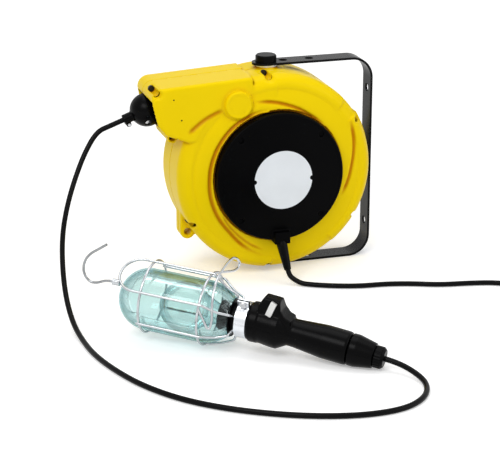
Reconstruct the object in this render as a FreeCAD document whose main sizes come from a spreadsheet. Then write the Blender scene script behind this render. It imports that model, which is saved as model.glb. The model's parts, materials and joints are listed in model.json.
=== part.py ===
import FreeCAD, Part
import math
import os

import Sketcher

# Spring-driven extension cord reel on a swivel bracket, with a caged hand lamp
# on its cord.  Millimetres, degrees.  +X points along the bracket's arms, +Y
# away from the contact cover, +Z up.  The origin is on the floor, on the
# bracket's swivel axis.

# ----------------------------------------------------------------- sizes
SIZES = {
    # cable
    "cable_dia": 6.5,
    "fit_gap": 0.05,
    "seat_gap": 0.3,
    # casing
    "casing_radius": 127.0,
    "casing_wall": 3.0,
    "casing_straight": 31.0,
    "shoulder_width": 18.0,
    "front_edge_depth": 47.0,
    "front_face_depth": 53.0,
    "cover_seat_depth": 50.0,
    "rear_edge_depth": 45.0,
    "rear_face_depth": 50.0,
    "arm_lift": 3.0,
    "arm_tail_lift": 1.5,
    "bulge_lift": 4.5,
    "bulge_depth": 22.0,
    "snout_front_depth": 50.0,
    "snout_rear_depth": 32.0,
    "snout_edge_radius": 4.0,
    "face_boss_radius": 17.0,
    "face_boss_depth": 57.0,
    "face_boss_draft": 2.5,
    "face_boss_edge": 1.5,
    "face_boss_rim": 2.8,
    "lug_radius": 9.5,
    "lug_hole_radius": 4.8,
    "lug_half_depth": 12.0,
    "contact_opening_radius": 36.0,
    "screw_post_radius": 6.5,
    "screw_radius": 2.0,
    "screw_head_radius": 3.8,
    "screw_head_height": 3.0,
    "screw_recess_depth": 16.0,
    "screw_grip": 12.0,
    "shell_screw_inset": 3.0,
    "snout_reach": 32.5,
    "snout_droop": 7.4,
    "snout_height": 70.5,
    "face_boss_inset": 19.4,
    "lug_overhang": 5.6,
    # bracket and pivots
    "strap_thick": 3.0,
    "strap_width": 27.0,
    "strap_bend_radius": 28.0,
    "strap_end_reach": 18.0,
    "strap_end_radius": 13.4,
    "leg_clearance": 8.7,
    "pivot_stack": 3.8,
    "pivot_radius": 5.0,
    "pivot_boss_radius": 14.0,
    "pivot_boss_lift": 1.4,
    "pivot_boss_depth": 12.0,
    "pivot_flange_radius": 9.0,
    "pivot_flange_height": 2.3,
    "washer_radius": 13.2,
    "knob_radius": 13.3,
    "knob_height": 8.5,
    "knob_bore_depth": 5.2,
    "knob_chamfer": 1.4,
    "sink_radius": 8.0,
    "sink_screw_radius": 2.5,
    "sink_screw_length": 14.0,
    "bolt_hole_radius": 5.5,
    "arm_hole_first": 22.3,
    "arm_hole_pitch": 34.6,
    "leg_hole_pitch": 180.0,
    # contact cover
    "cover_radius": 82.5,
    "cover_rim_height": 15.0,
    "cover_dome_height": 25.0,
    "cover_rim_land": 4.5,
    "cover_wall": 2.5,
    "label_radius": 37.5,
    "label_thick": 0.4,
    "label_notch_radius": 3.0,
    "cover_screw_inset": 9.0,
    "cover_screw_radius": 1.8,
    "cover_screw_head_radius": 3.4,
    "cover_post_radius": 4.6,
    "gland_boss_width": 20.0,
    "gland_boss_length": 16.0,
    "gland_boss_reach": 3.0,
    "gland_boss_depth": 74.0,
    # drum and axle
    "axle_radius": 8.0,
    "axle_front_end": 37.5,
    "axle_flange_radius": 16.0,
    "axle_flange_thick": 4.0,
    "axle_tail": 12.0,
    "axle_nut_flats": 24.0,
    "axle_nut_height": 8.0,
    "drum_half_width": 30.0,
    "drum_flange_thick": 2.5,
    "drum_flange_radius": 109.0,
    "hub_radius": 45.0,
    "hub_wall": 3.0,
    "drum_bearing_radius": 14.0,
    "drum_bearing_length": 6.0,
    "winding_radius": 77.0,
    "spring_thick": 0.8,
    "spring_clearance": 2.0,
    "spring_width": 36.0,
    "spring_turns": 9,
    # contacts
    "ring_carrier_radius": 34.0,
    "ring_carrier_thick": 5.0,
    "ring_carrier_start": 40.0,
    "ring_thick": 1.0,
    "ring_inner_radius": 14.5,
    "ring_outer_radius": 26.5,
    "ring_band": 5.0,
    "brush_length": 10.0,
    "brush_size": 5.0,
    "holder_length": 96.0,
    "holder_width": 16.0,
    "holder_thick": 8.0,
    "holder_foot": 9.0,
    # ratchet
    "ratchet_radius": 52.0,
    "ratchet_tooth_depth": 5.0,
    "ratchet_thick": 5.0,
    "ratchet_teeth": 12,
    "pawl_pivot_gap": 12.0,
    "pawl_thick": 4.0,
    "pawl_hub_radius": 5.0,
    "pawl_pin_radius": 2.5,
    # cable mouth
    "exit_tilt": 20.0,
    "ball_radius": 21.0,
    "ball_overhang": 28.0,
    "ball_drop": 44.0,
    "mouth_gap": 0.7,
    "sleeve_length": 31.7,
    "sleeve_radius": 6.3,
    "ball_seat_radius": 15.0,
    "mouth_plate_thick": 2.5,
    "roller_radius": 9.6,
    "roller_length": 37.4,
    "roller_pin_radius": 2.5,
    "roller_reach": 29.0,
    "side_roller_radius": 7.0,
    "side_roller_length": 25.0,
    "cheek_thick": 3.0,
    # supply lead
    "relief_root_radius": 6.8,
    "relief_tip_radius": 4.5,
    "relief_length": 35.0,
    "coil_radius": 37.0,
    "coil_width": 19.5,
    "coil_height": 13.0,
    "plug_length": 62.0,
    "plug_width": 37.0,
    "plug_thick": 25.0,
    "plug_pin_radius": 2.4,
    "plug_pin_length": 19.0,
    "plug_pin_pitch": 19.0,
    # hand lamp
    "lamp_heading": -36.9,
    "lamp_x": -179.8,
    "lamp_y": -219.6,
    "head_pitch": 4.43,
    "bend_at": 105.0,
    "wire_dia": 3.0,
    "hoop_radius": 42.2,
    "hoop_lift": 4.2,
    "hoop_front": -26.5,
    "hoop_back": 45.0,
    "rail_radius": 43.4,
    "nose_start": 9.5,
    "glass_radius": 36.2,
    "glass_wall": 2.0,
    "glass_tip": -65.5,
    "glass_shoulder": 36.0,
    "glass_waist_radius": 33.2,
    "glass_waist": 56.0,
    "glass_neck_radius": 23.2,
    "glass_end": 74.0,
    "holder_cup_radius": 17.5,
    "holder_cup_start": 60.0,
    "band_start": 82.0,
    "band_width": 13.2,
    "band_radius": 21.5,
    "band_core_radius": 17.0,
    "band_thick": 1.2,
    "band_clock": 22.0,
    "collar_radius": 23.5,
    "collar_length": 13.0,
    "switch_start": 105.5,
    "switch_length": 26.0,
    "switch_width": 28.0,
    "switch_top": 38.6,
    "hump_radius": 23.6,
    "neck_radius": 16.3,
    "neck_start": 143.0,
    "grip_radius": 19.4,
    "grip_end": 214.6,
    "boot_start": 216.0,
    "boot_radius": 18.6,
    "boot_wide": 7.0,
    "boot_tip_radius": 14.4,
    "boot_end": 244.0,
    "nut_radius": 12.8,
    "nut_end": 256.0,
    "nut_ribs": 18,
    "bulb_radius": 30.0,
    "bulb_cap_radius": 13.1,
    "bulb_cap_start": 62.0,
    "bulb_cap_end": 86.0,
    "socket_radius": 14.4,
    "rocker_width": 7.0,
    "rocker_length": 18.0,
    "rocker_thick": 5.0,
    "rocker_throw": 12.0,
    "hook_wire_dia": 3.0,
}

doc = FreeCAD.newDocument("CordReel")
sheet = doc.addObject("Spreadsheet::Sheet", "Sizes")
for row, (size_name, size_value) in enumerate(SIZES.items(), start=1):
    sheet.set(f"A{row}", size_name.replace("_", " "))
    sheet.set(f"B{row}", str(size_value))
    sheet.setAlias(f"B{row}", size_name)
doc.recompute()


class Size:
    """A length from the sheet: its number, and the expression that gives it."""

    def __init__(self, number, text):
        self.number = float(number)
        self.text = text

    @staticmethod
    def of(other):
        return other if isinstance(other, Size) else Size(other, f"{float(other):.6f}")

    def _join(self, other, sign, number):
        return Size(number, f"({self.text} {sign} {Size.of(other).text})")

    def __add__(self, other):
        return self._join(other, "+", self.number + float(other))

    def __sub__(self, other):
        return self._join(other, "-", self.number - float(other))

    def __mul__(self, other):
        return self._join(other, "*", self.number * float(other))

    def __truediv__(self, other):
        return self._join(other, "/", self.number / float(other))

    def __radd__(self, other):
        return Size.of(other) + self

    def __rsub__(self, other):
        return Size.of(other) - self

    def __rmul__(self, other):
        return Size.of(other) * self

    def __neg__(self):
        return Size.of(0) - self

    def __float__(self):
        return self.number


class Sheet:
    """Reads the sheet's cells by name as Size values."""

    def __getattr__(self, name):
        return Size(sheet.get(name), f"Sizes.{name}")


S = Sheet()
parts = {}


# ----------------------------------------------------------------- helpers
def vec(x, y, z=0.0):
    return FreeCAD.Vector(float(x), float(y), float(z))


def bind(thing, prop, value):
    """Set a property, tied to the sheet where the value comes from it."""
    if isinstance(value, Size):
        thing.setExpression(prop, value.text)
    else:
        setattr(thing, prop, value)


def keep(label, thing, placement=None):
    """Name a finished sub-part and give it its place."""
    thing.Label = label
    if placement is not None:
        thing.Placement = placement.multiply(thing.Placement)
    parts[label] = thing
    return thing


def at(x, y, z, rotation=None):
    return FreeCAD.Placement(vec(x, y, z), rotation or FreeCAD.Rotation())


def turn(axis, angle):
    return FreeCAD.Rotation(axis, float(angle))


X_AXIS = FreeCAD.Vector(1, 0, 0)
Y_AXIS = FreeCAD.Vector(0, 1, 0)
Z_AXIS = FreeCAD.Vector(0, 0, 1)


def cylinder(radius, height, x=0, y=0, z=0, rotation=None):
    thing = doc.addObject("Part::Cylinder", "Cylinder")
    bind(thing, "Radius", radius)
    bind(thing, "Height", height)
    thing.Placement = at(x, y, z, rotation)
    return thing


def cone(radius_low, radius_high, height, x=0, y=0, z=0, rotation=None):
    thing = doc.addObject("Part::Cone", "Cone")
    bind(thing, "Radius1", radius_low)
    bind(thing, "Radius2", radius_high)
    bind(thing, "Height", height)
    thing.Placement = at(x, y, z, rotation)
    return thing


def box(length, width, height, x=0, y=0, z=0, rotation=None):
    """A box whose corner lies at x, y, z."""
    thing = doc.addObject("Part::Box", "Box")
    bind(thing, "Length", length)
    bind(thing, "Width", width)
    bind(thing, "Height", height)
    thing.Placement = at(x, y, z, rotation)
    return thing


def ball(radius, x=0, y=0, z=0):
    thing = doc.addObject("Part::Sphere", "Sphere")
    bind(thing, "Radius", radius)
    thing.Placement = at(x, y, z)
    return thing


def fuse(*things):
    thing = doc.addObject("Part::MultiFuse", "Fusion")
    thing.Shapes = list(things)
    return thing


def cut(base, *tools):
    thing = doc.addObject("Part::Cut", "Cut")
    thing.Base = base
    thing.Tool = tools[0] if len(tools) == 1 else fuse(*tools)
    return thing


def common(base, tool):
    thing = doc.addObject("Part::Common", "Common")
    thing.Base = base
    thing.Tool = tool
    return thing


def solid(shape):
    thing = doc.addObject("Part::Feature", "Solid")
    thing.Shape = shape
    return thing


def group(*things):
    """Separate solids that share one node."""
    thing = doc.addObject("Part::Compound", "Group")
    thing.Links = list(things)
    return thing


def plane_of(body, role):
    return next(item for item in body.Origin.OriginFeatures if item.Role == role)


def outline_sketch(body, role, points):
    """A closed polygon sketch with every corner tied to its two lengths."""
    sketch = body.newObject("Sketcher::SketchObject", "Outline")
    sketch.AttachmentSupport = [(plane_of(body, role), "")]
    sketch.MapMode = "FlatFace"
    count = len(points)
    for index in range(count):
        here, there = points[index], points[(index + 1) % count]
        sketch.addGeometry(Part.LineSegment(vec(*here), vec(*there)))
    for index in range(count):
        sketch.addConstraint(Sketcher.Constraint("Coincident", index, 2, (index + 1) % count, 1))
    for index, corner in enumerate(points):
        for value, kind, axis in zip(corner, ("DistanceX", "DistanceY"), (-2, -1)):
            if float(value) == 0:
                sketch.addConstraint(Sketcher.Constraint("PointOnObject", index, 1, axis))
                continue
            number = sketch.addConstraint(Sketcher.Constraint(kind, index, 1, float(value)))
            if isinstance(value, Size):
                sketch.setExpression(f"Constraints[{number}]", value.text)
    return sketch


def turned(label, points, placement=None):
    """A turned piece: (radius, height) points swept round the local Z axis."""
    body = doc.addObject("PartDesign::Body", "Turned")
    sketch = outline_sketch(body, "XZ_Plane", points)
    feature = body.newObject("PartDesign::Revolution", "Turning")
    feature.Profile = sketch
    feature.ReferenceAxis = (sketch, ["V_Axis"])
    feature.Angle = 360
    if label is None:
        return body
    return keep(label, body, placement)


def arc_through(start, middle, end):
    return Part.Arc(vec(*start), vec(*middle), vec(*end)).toShape()


def line(start, end):
    return Part.LineSegment(vec(*start), vec(*end)).toShape()


def rounded_wire(corners):
    """A closed wire through (x, y, radius) corners, each rounded by its radius."""
    edges = []
    ends = []
    count = len(corners)
    for index, (x, y, radius) in enumerate(corners):
        here = vec(x, y)
        before = vec(*corners[index - 1][:2]) - here
        after = vec(*corners[(index + 1) % count][:2]) - here
        before.normalize()
        after.normalize()
        if radius <= 0:
            ends.append((here, here, None))
            continue
        half = before.getAngle(after) / 2
        reach = radius / math.tan(half)
        bisector = before + after
        bisector.normalize()
        middle = here + bisector * (radius / math.sin(half) - radius)
        ends.append((here + before * reach, here + after * reach, middle))
    for index, (start, end, middle) in enumerate(ends):
        if middle is not None:
            edges.append(Part.Arc(start, middle, end).toShape())
        following = ends[(index + 1) % count][0]
        if (following - end).Length > 1e-6:
            edges.append(Part.LineSegment(end, following).toShape())
    return Part.Wire(edges)


def prism(wire, low, high):
    shape = Part.Face(wire).extrude(vec(0, 0, float(high) - float(low)))
    shape.translate(vec(0, 0, float(low)))
    return shape


def polar(radius, angle):
    turned_by = math.radians(angle)
    return (float(radius) * math.cos(turned_by), float(radius) * math.sin(turned_by))


def bent_path(points, share=0.45, bend=None):
    """Straight runs joined by tangent arcs; returns the wire and the arc radii."""
    runs = [vec(*point) for point in points]
    edges = []
    radii = []
    cursor = runs[0]
    for index in range(1, len(runs) - 1):
        here = runs[index]
        before = runs[index - 1] - here
        after = runs[index + 1] - here
        shorter = min(before.Length, after.Length)
        before.normalize()
        after.normalize()
        half_turn = (math.pi - before.getAngle(after)) / 2
        radius = share * shorter / math.tan(half_turn)
        if bend is not None:
            radius = min(radius, bend)
        reach = radius * math.tan(half_turn)
        bisector = before + after
        bisector.normalize()
        middle = here + bisector * (radius / math.cos(half_turn) - radius)
        start = here + before * reach
        end = here + after * reach
        edges.append(Part.LineSegment(cursor, start).toShape())
        edges.append(Part.Arc(start, middle, end).toShape())
        radii.append(radius)
        cursor = end
    edges.append(Part.LineSegment(cursor, runs[-1]).toShape())
    return Part.Wire(edges), radii


def tube(points, diameter, share=0.45, bend=None):
    """A round tube along a bent path."""
    wire, radii = bent_path(points, share, bend)
    start = vec(*points[0])
    heading = vec(*points[1]) - start
    circle = Part.Circle(start, heading, float(diameter) / 2)
    section = Part.Wire([circle.toShape()])
    shape = wire.makePipeShell([section], True, False)
    wanted = wire.Length * math.pi * float(diameter) ** 2 / 4
    if abs(shape.Volume - wanted) > 0.002 * wanted:
        raise ValueError("a tube's volume is not its section times its length")
    return shape, wire, radii


def torus(radius, wire_radius, x=0, y=0, z=0, axis=Z_AXIS):
    return Part.makeTorus(float(radius), float(wire_radius), vec(x, y, z), axis)


# ----------------------------------------------------------------- frames
cable_radius = S.cable_dia / 2
pawl_pivot_radius = S.ratchet_radius + S.pawl_pivot_gap
cover_screw_circle = S.cover_radius - S.cover_screw_inset
arm_inner = S.casing_radius + S.pivot_stack
axle_height = arm_inner + S.strap_thick
# Pieces on the axle are drawn with local X along +X, local Y up and local Z
# towards the contact cover.
CASING = at(0, 0, axle_height, turn(X_AXIS, 90))
# Pieces at the cable's mouth: local X inwards along the cable, local Y up
# across it, local Z towards the contact cover.
ball_x = -(S.casing_radius + S.ball_overhang)
ball_y = S.casing_radius - S.ball_drop
MOUTH = CASING.multiply(at(ball_x, ball_y, 0, turn(Z_AXIS, S.exit_tilt)))


# ----------------------------------------------------------------- bracket
def make_bracket():
    top = axle_height + arm_inner + S.strap_thick
    leg = S.casing_radius + S.leg_clearance + S.strap_thick
    body = doc.addObject("PartDesign::Body", "Bracket")
    profile = outline_sketch(body, "XZ_Plane", [
        (-S.strap_end_reach, 0), (leg, 0), (leg, top), (-S.strap_end_reach, top),
        (-S.strap_end_reach, top - S.strap_thick), (leg - S.strap_thick, top - S.strap_thick),
        (leg - S.strap_thick, S.strap_thick), (-S.strap_end_reach, S.strap_thick),
    ])
    pad = body.newObject("PartDesign::Pad", "Strap")
    pad.Profile = profile
    bind(pad, "Length", S.strap_width)
    pad.SideType = "Symmetric"
    doc.recompute()

    def edges_where(test):
        return [f"Edge{n}" for n, edge in enumerate(body.Shape.Edges, start=1)
                if test(edge.CenterOfMass, edge.tangentAt(edge.FirstParameter))]

    def fillet(name, test, radius):
        base = body.Tip
        chosen = edges_where(test)
        feature = body.newObject("PartDesign::Fillet", name)
        feature.Base = (base, chosen)
        bind(feature, "Radius", radius)
        doc.recompute()

    near = float(S.strap_thick) / 2
    fillet("InnerBends", lambda c, d: abs(d.y) > 0.9 and abs(c.x - float(leg - S.strap_thick)) < near,
           S.strap_bend_radius - S.strap_thick)
    fillet("OuterBends", lambda c, d: abs(d.y) > 0.9 and abs(c.x - float(leg)) < near,
           S.strap_bend_radius)
    fillet("ArmEnds", lambda c, d: abs(d.z) > 0.9 and c.x < -float(S.strap_end_reach) + near,
           S.strap_end_radius)
    height = top
    solid_before = body.Shape.Volume

    def round_pocket(name, role, x, y, radius, both):
        sketch = body.newObject("Sketcher::SketchObject", name + "Circle")
        sketch.AttachmentSupport = [(plane_of(body, role), "")]
        sketch.MapMode = "FlatFace"
        sketch.addGeometry(Part.Circle(vec(x, y), Z_AXIS, float(radius)))
        number = sketch.addConstraint(Sketcher.Constraint("Radius", 0, float(radius)))
        sketch.setExpression(f"Constraints[{number}]", radius.text)
        for value, kind, axis in ((x, "DistanceX", -2), (y, "DistanceY", -1)):
            if float(value) == 0:
                sketch.addConstraint(Sketcher.Constraint("PointOnObject", 0, 3, axis))
                continue
            number = sketch.addConstraint(Sketcher.Constraint(kind, 0, 3, float(value)))
            sketch.setExpression(f"Constraints[{number}]", Size.of(value).text)
        pocket = body.newObject("PartDesign::Pocket", name)
        pocket.Profile = sketch
        pocket.SideType = "Symmetric"
        bind(pocket, "Length", both)
        doc.recompute()
        return pocket

    through = height * 2 + 10
    leg_through = leg * 2 + 10
    round_pocket("PivotHole", "XY_Plane", 0, 0, S.pivot_radius + S.fit_gap, through)
    round_pocket("NearArmHole", "XY_Plane", S.arm_hole_first, 0, S.bolt_hole_radius, through)
    round_pocket("FarArmHole", "XY_Plane", S.arm_hole_first + S.arm_hole_pitch, 0,
                 S.bolt_hole_radius, through)
    for name, side in (("LowLegHole", -1), ("HighLegHole", 1)):
        round_pocket(name, "YZ_Plane", 0, axle_height + S.leg_hole_pitch * (side / 2),
                     S.bolt_hole_radius, leg_through)
    sink_profile = outline_sketch(body, "XZ_Plane", [
        (0, 0), (S.sink_radius + S.seat_gap, 0),
        (S.pivot_radius + S.fit_gap, S.strap_thick), (0, S.strap_thick),
    ])
    sink = body.newObject("PartDesign::Groove", "Sink")
    sink.Profile = sink_profile
    sink.ReferenceAxis = (sink_profile, ["V_Axis"])
    sink.Angle = 360
    doc.recompute()
    hole = math.pi * float(S.strap_thick) * float(S.bolt_hole_radius) ** 2
    if solid_before - body.Shape.Volume < 6 * hole:
        raise ValueError("the bracket's holes are not all cut")
    keep("bracket", body)


def make_pivots():
    boss_top = S.casing_radius + S.pivot_boss_lift
    boss_low = boss_top - S.pivot_boss_depth
    shank = S.pivot_radius
    washer_top = arm_inner - S.seat_gap
    pin_top = arm_inner + S.strap_thick + S.knob_bore_depth
    flange = [
        (0, boss_low - S.pivot_flange_height), (S.pivot_flange_radius, boss_low - S.pivot_flange_height),
        (S.pivot_flange_radius, boss_low - S.fit_gap), (shank, boss_low - S.fit_gap),
    ]
    above = at(0, 0, axle_height)
    below = at(0, 0, axle_height, turn(X_AXIS, 180))
    turned("pivot_pin_upper", flange + [(shank, pin_top), (0, pin_top)], above)
    low_end = arm_inner
    bore = S.sink_screw_radius + S.fit_gap
    bore_depth = low_end - S.sink_screw_length
    turned("pivot_pin_lower", flange + [
        (shank, low_end), (bore, low_end), (bore, bore_depth), (0, bore_depth)], below)
    washers = []
    for place in (above, below):
        washers.append(turned(None, [
            (shank + S.fit_gap, boss_top), (S.washer_radius, boss_top),
            (S.washer_radius, washer_top), (shank + S.fit_gap, washer_top)]))
        washers[-1].Placement = place
    keep("pivot_washers", group(*washers))
    knob_low = arm_inner + S.strap_thick + S.seat_gap
    knob_top = knob_low + S.knob_height
    bore = shank + S.fit_gap
    bore_top = pin_top + S.fit_gap
    turned("pivot_knob", [
        (bore, knob_low), (S.knob_radius, knob_low), (S.knob_radius, knob_top - S.knob_chamfer),
        (S.knob_radius - S.knob_chamfer, knob_top), (0, knob_top), (0, bore_top), (bore, bore_top),
    ], above)
    turned("pivot_screw", [
        (0, 0), (S.sink_radius, 0), (S.pivot_radius, S.strap_thick - S.fit_gap),
        (S.sink_screw_radius, S.strap_thick - S.fit_gap),
        (S.sink_screw_radius, S.sink_screw_length), (0, S.sink_screw_length)])


# ----------------------------------------------------------------- casing
# Spiral step lines on the front: how far each point lies from the cover's seat
# (0) to the rim (1), and its angle about the axle.
TOP_ARM_EDGE = [(0.465, 118), (0.407, 109), (0.209, 93), (0.093, 78), (0.012, 57), (-0.023, 44)]
RIGHT_ARM_EDGE = [(0.651, 33), (0.605, 29), (0.512, 17.5), (0.349, 0.5), (0.233, -21), (0.047, -42),
                  (-0.023, -52)]
LEFT_ARM_EDGE = [(0.628, -93), (0.512, -104), (0.388, -119), (0.186, -138), (0.102, -158), (0.047, -180),
                 (0.065, -204.5), (0.102, -225.5), (0.07, -245), (-0.023, -262)]
SHELL_SCREWS = [94.0, 29.5, -32.0, -94.0, -151.0]


def beside_rim(out, down):
    """A point this far left of the casing's round part and below its top."""
    return (-(float(S.casing_radius) + out), float(S.casing_radius) - down)


reach = float(S.snout_reach)
mouth_lip = float(S.ball_drop - S.ball_radius - S.mouth_gap)
SNOUT_SCREWS = [beside_rim(reach - 6.5, float(S.snout_droop) + 5.1),
                beside_rim(reach - 29.5, float(S.snout_height) + 4.0)]
FACE_BOSS = polar(S.casing_radius - S.face_boss_inset, 118.6)
LUG = polar(S.casing_radius + S.lug_overhang, 216.3)


def snout_corners(inset):
    """The snout's outline; its left side is the cable's mouth, under a closed corner."""
    deep = float(S.snout_height)
    droop = float(S.snout_droop)
    root = -float(S.casing_radius) * 0.24
    shape = [
        (reach, droop, 14 - inset, 1, -1), (reach, mouth_lip, 0, 1, 0),
        (reach - 1, droop + 21.6, 8, 0, 0), (reach - 7, deep - 16.5, 16, 0, 0),
        (reach - 17.5, deep - 4, 6 - inset / 2, 0.5, 1), (reach - 47.5, deep + 7.5, 0, 1, 1),
    ]
    corners = [(root, float(S.casing_radius) - inset, 0)]
    for out, down, radius, right, up in shape:
        x, y = beside_rim(out, down)
        corners.append((x + right * inset, y + up * inset, radius))
    corners.append((root, corners[-1][1], 0))
    return corners


def dish(radius, straight, edge_depth, face_depth, corner, hub_radius):
    """Half of a round casing: rim, rounded shoulder and a slightly coned face."""
    profile = Part.Wire([
        line((0, 0), (radius, 0)),
        line((radius, 0), (radius, straight)),
        arc_through((radius, straight),
                    (radius - corner * 0.26, edge_depth - (edge_depth - straight) * 0.28),
                    (radius - corner, edge_depth)),
        line((radius - corner, edge_depth), (hub_radius, face_depth)),
        line((hub_radius, face_depth), (0, face_depth)),
        line((0, face_depth), (0, 0)),
    ])
    shape = Part.Face(profile).revolve(vec(0, 0), Y_AXIS, 360)
    shape.rotate(vec(0, 0), X_AXIS, 90)
    return shape


def arm_prism(edge_points, outer_radius):
    """The crescent between a spiral step line and the rim, as a tall prism."""
    spline = Part.BSplineCurve()
    seat = float(S.cover_radius) + 1.5
    span = float(S.casing_radius) - seat
    edge_points = [(seat + share * span, angle) for share, angle in edge_points]
    spline.interpolate([vec(*polar(radius, angle)) for radius, angle in edge_points])
    first, last = edge_points[0][1], edge_points[-1][1]
    rim = [vec(*polar(outer_radius, first + (last - first) * share)) for share in (0, 0.5, 1)]
    start = vec(*polar(edge_points[0][0], first))
    end = vec(*polar(edge_points[-1][0], last))
    wire = Part.Wire([
        spline.toShape(),
        Part.LineSegment(end, rim[2]).toShape(),
        Part.Arc(rim[2], rim[1], rim[0]).toShape(),
        Part.LineSegment(rim[0], start).toShape(),
    ])
    return prism(wire, 20, 80)


def sector(inner, outer, first, last, low, high):
    middle = (first + last) / 2
    wire = Part.Wire([
        arc_through(polar(inner, first), polar(inner, middle), polar(inner, last)),
        line(polar(inner, last), polar(outer, last)),
        arc_through(polar(outer, last), polar(outer, middle), polar(outer, first)),
        line(polar(outer, first), polar(inner, first)),
    ])
    return prism(wire, low, high)


def round_bar(radius, low, high, x=0.0, y=0.0):
    return Part.makeCylinder(float(radius), float(high) - float(low), vec(x, y, low), Z_AXIS)


def front_edges_at(shape, depth):
    return [edge for edge in shape.Edges
            if abs(edge.BoundBox.ZMin - depth) < 1e-4 and abs(edge.BoundBox.ZMax - depth) < 1e-4]


def shell_screw_places():
    ring = [polar(S.casing_radius - S.shell_screw_inset, angle) for angle in SHELL_SCREWS]
    return ring + SNOUT_SCREWS


def casing_half(front):
    """One casing half as a solid outside minus a solid inside."""
    radius = float(S.casing_radius)
    wall = float(S.casing_wall)
    straight = float(S.casing_straight)
    corner = float(S.shoulder_width)
    hub = float(S.cover_radius) + 1.5
    if front:
        edge_depth, face_depth = float(S.front_edge_depth), float(S.front_face_depth)
        snout_depth = float(S.snout_front_depth)
    else:
        edge_depth, face_depth = float(S.rear_edge_depth), float(S.rear_face_depth)
        snout_depth = float(S.snout_rear_depth)
    body = dish(radius, straight, edge_depth, face_depth, corner, hub)
    if front:
        lift = float(S.arm_lift)
        raised = dish(radius, straight, edge_depth + lift, face_depth + lift, corner, hub)
        for edge in (TOP_ARM_EDGE, RIGHT_ARM_EDGE, LEFT_ARM_EDGE):
            body = body.fuse(raised.common(arm_prism(edge, radius + 5)))
        low = float(S.arm_tail_lift)
        tail = dish(radius, straight, edge_depth + low, face_depth + low, corner, hub)
        tail_wire = Part.Wire(Part.makePolygon([
            vec(0, 0), vec(*polar(140, 33)), vec(*polar(190, -10)), vec(*polar(140, -52)), vec(0, 0)]))
        body = body.fuse(tail.common(prism(tail_wire, 20, 80)))
        seat = round_bar(hub, S.cover_seat_depth, S.cover_seat_depth + S.cover_rim_height)
        body = body.cut(seat)
        boss_x, boss_y = FACE_BOSS
        boss_low = 30.0
        boss_high = float(S.face_boss_depth)
        boss = Part.makeCone(float(S.face_boss_radius + S.face_boss_draft), float(S.face_boss_radius),
                             boss_high - boss_low, vec(boss_x, boss_y, boss_low), Z_AXIS)
        top_edges = front_edges_at(boss, boss_high)
        boss = boss.makeFillet(float(S.face_boss_edge), top_edges)
        body = body.fuse(boss)
        body = body.cut(round_bar(S.face_boss_radius - S.face_boss_rim, boss_high - 0.8,
                                  boss_high + 1, boss_x, boss_y))
    snout = prism(rounded_wire(snout_corners(0)), 0, snout_depth)
    edges = front_edges_at(snout, snout_depth)
    snout = snout.makeFillet(float(S.snout_edge_radius), edges)
    body = body.fuse(snout)
    bulge = sector(radius - 8, radius + float(S.bulge_lift), -33, 30, 0, S.bulge_depth)
    body = body.fuse(bulge)
    lug_x, lug_y = LUG
    lug_radius = float(S.lug_radius)
    lug = prism(rounded_wire([
        (lug_x - lug_radius, lug_y + 30, 0), (lug_x - lug_radius, lug_y - lug_radius, lug_radius - 0.1),
        (lug_x + lug_radius, lug_y - lug_radius, lug_radius - 0.1), (lug_x + lug_radius, lug_y + 30, 0),
    ]), 0, S.lug_half_depth)
    body = body.fuse(lug)
    inner_corner = corner - wall * 0.4
    inside = dish(radius - wall, straight, edge_depth - wall, face_depth - wall - 2, inner_corner, hub - 10)
    if front:
        inside = dish(radius - wall, straight, edge_depth - wall, float(S.cover_seat_depth) - wall,
                      inner_corner, hub - 10)
    snout_inside = prism(rounded_wire(snout_corners(wall)), 0, snout_depth - wall)
    deep = float(S.snout_height)
    lip = mouth_lip
    opening = [(reach - 10, lip + 1), (reach - 4, lip), (reach + 35, lip), (reach + 10, deep + 11.5),
               (reach - 16.5, deep - 8.5), (reach - 23, deep - 13.5), (reach - 10, lip + 1)]
    mouth = prism(Part.makePolygon([vec(*beside_rim(out, down)) for out, down in opening]),
                  0, snout_depth - wall)
    inside = inside.fuse([snout_inside, mouth])
    outside = body
    body = body.cut(inside)
    # posts for the shell screws, and the pivot bosses, inside the rim; the lowest
    # snout screw has a boss of its own under the snout
    posts = []
    for x, y in shell_screw_places():
        post = round_bar(S.screw_post_radius, 0, min(straight, snout_depth - wall), x, y)
        posts.append(post if (x, y) == SNOUT_SCREWS[-1] else post.common(outside))
    boss_top = float(S.casing_radius + S.pivot_boss_lift)
    boss_low = boss_top - float(S.pivot_boss_depth)
    for side in (1, -1):
        post = Part.makeCylinder(float(S.pivot_boss_radius), boss_top - boss_low,
                                 vec(0, side * boss_low, 0), Y_AXIS * side)
        posts.append(post.common(round_bar(radius + 20, 0, 60)))
    body = body.fuse(posts)
    cuts = []
    for side in (1, -1):
        cuts.append(Part.makeCylinder(float(S.pivot_radius + S.fit_gap), 60,
                                      vec(0, side * 100, 0), Y_AXIS * side))
        cuts.append(Part.makeCylinder(float(S.pivot_flange_radius + S.seat_gap), 20,
                                      vec(0, side * (boss_low - 20), 0), Y_AXIS * side))
    for x, y in shell_screw_places():
        depth = float(S.screw_recess_depth)
        if front:
            cuts.append(round_bar(S.screw_radius + S.fit_gap, -1, 80, x, y))
            cuts.append(round_bar(S.screw_head_radius + 0.4, depth, 80, x, y))
        else:
            cuts.append(round_bar(S.screw_radius + S.fit_gap, -1, S.screw_grip + 1, x, y))
    cuts.append(round_bar(S.lug_hole_radius, -1, S.lug_half_depth + 1, lug_x, lug_y))
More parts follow.
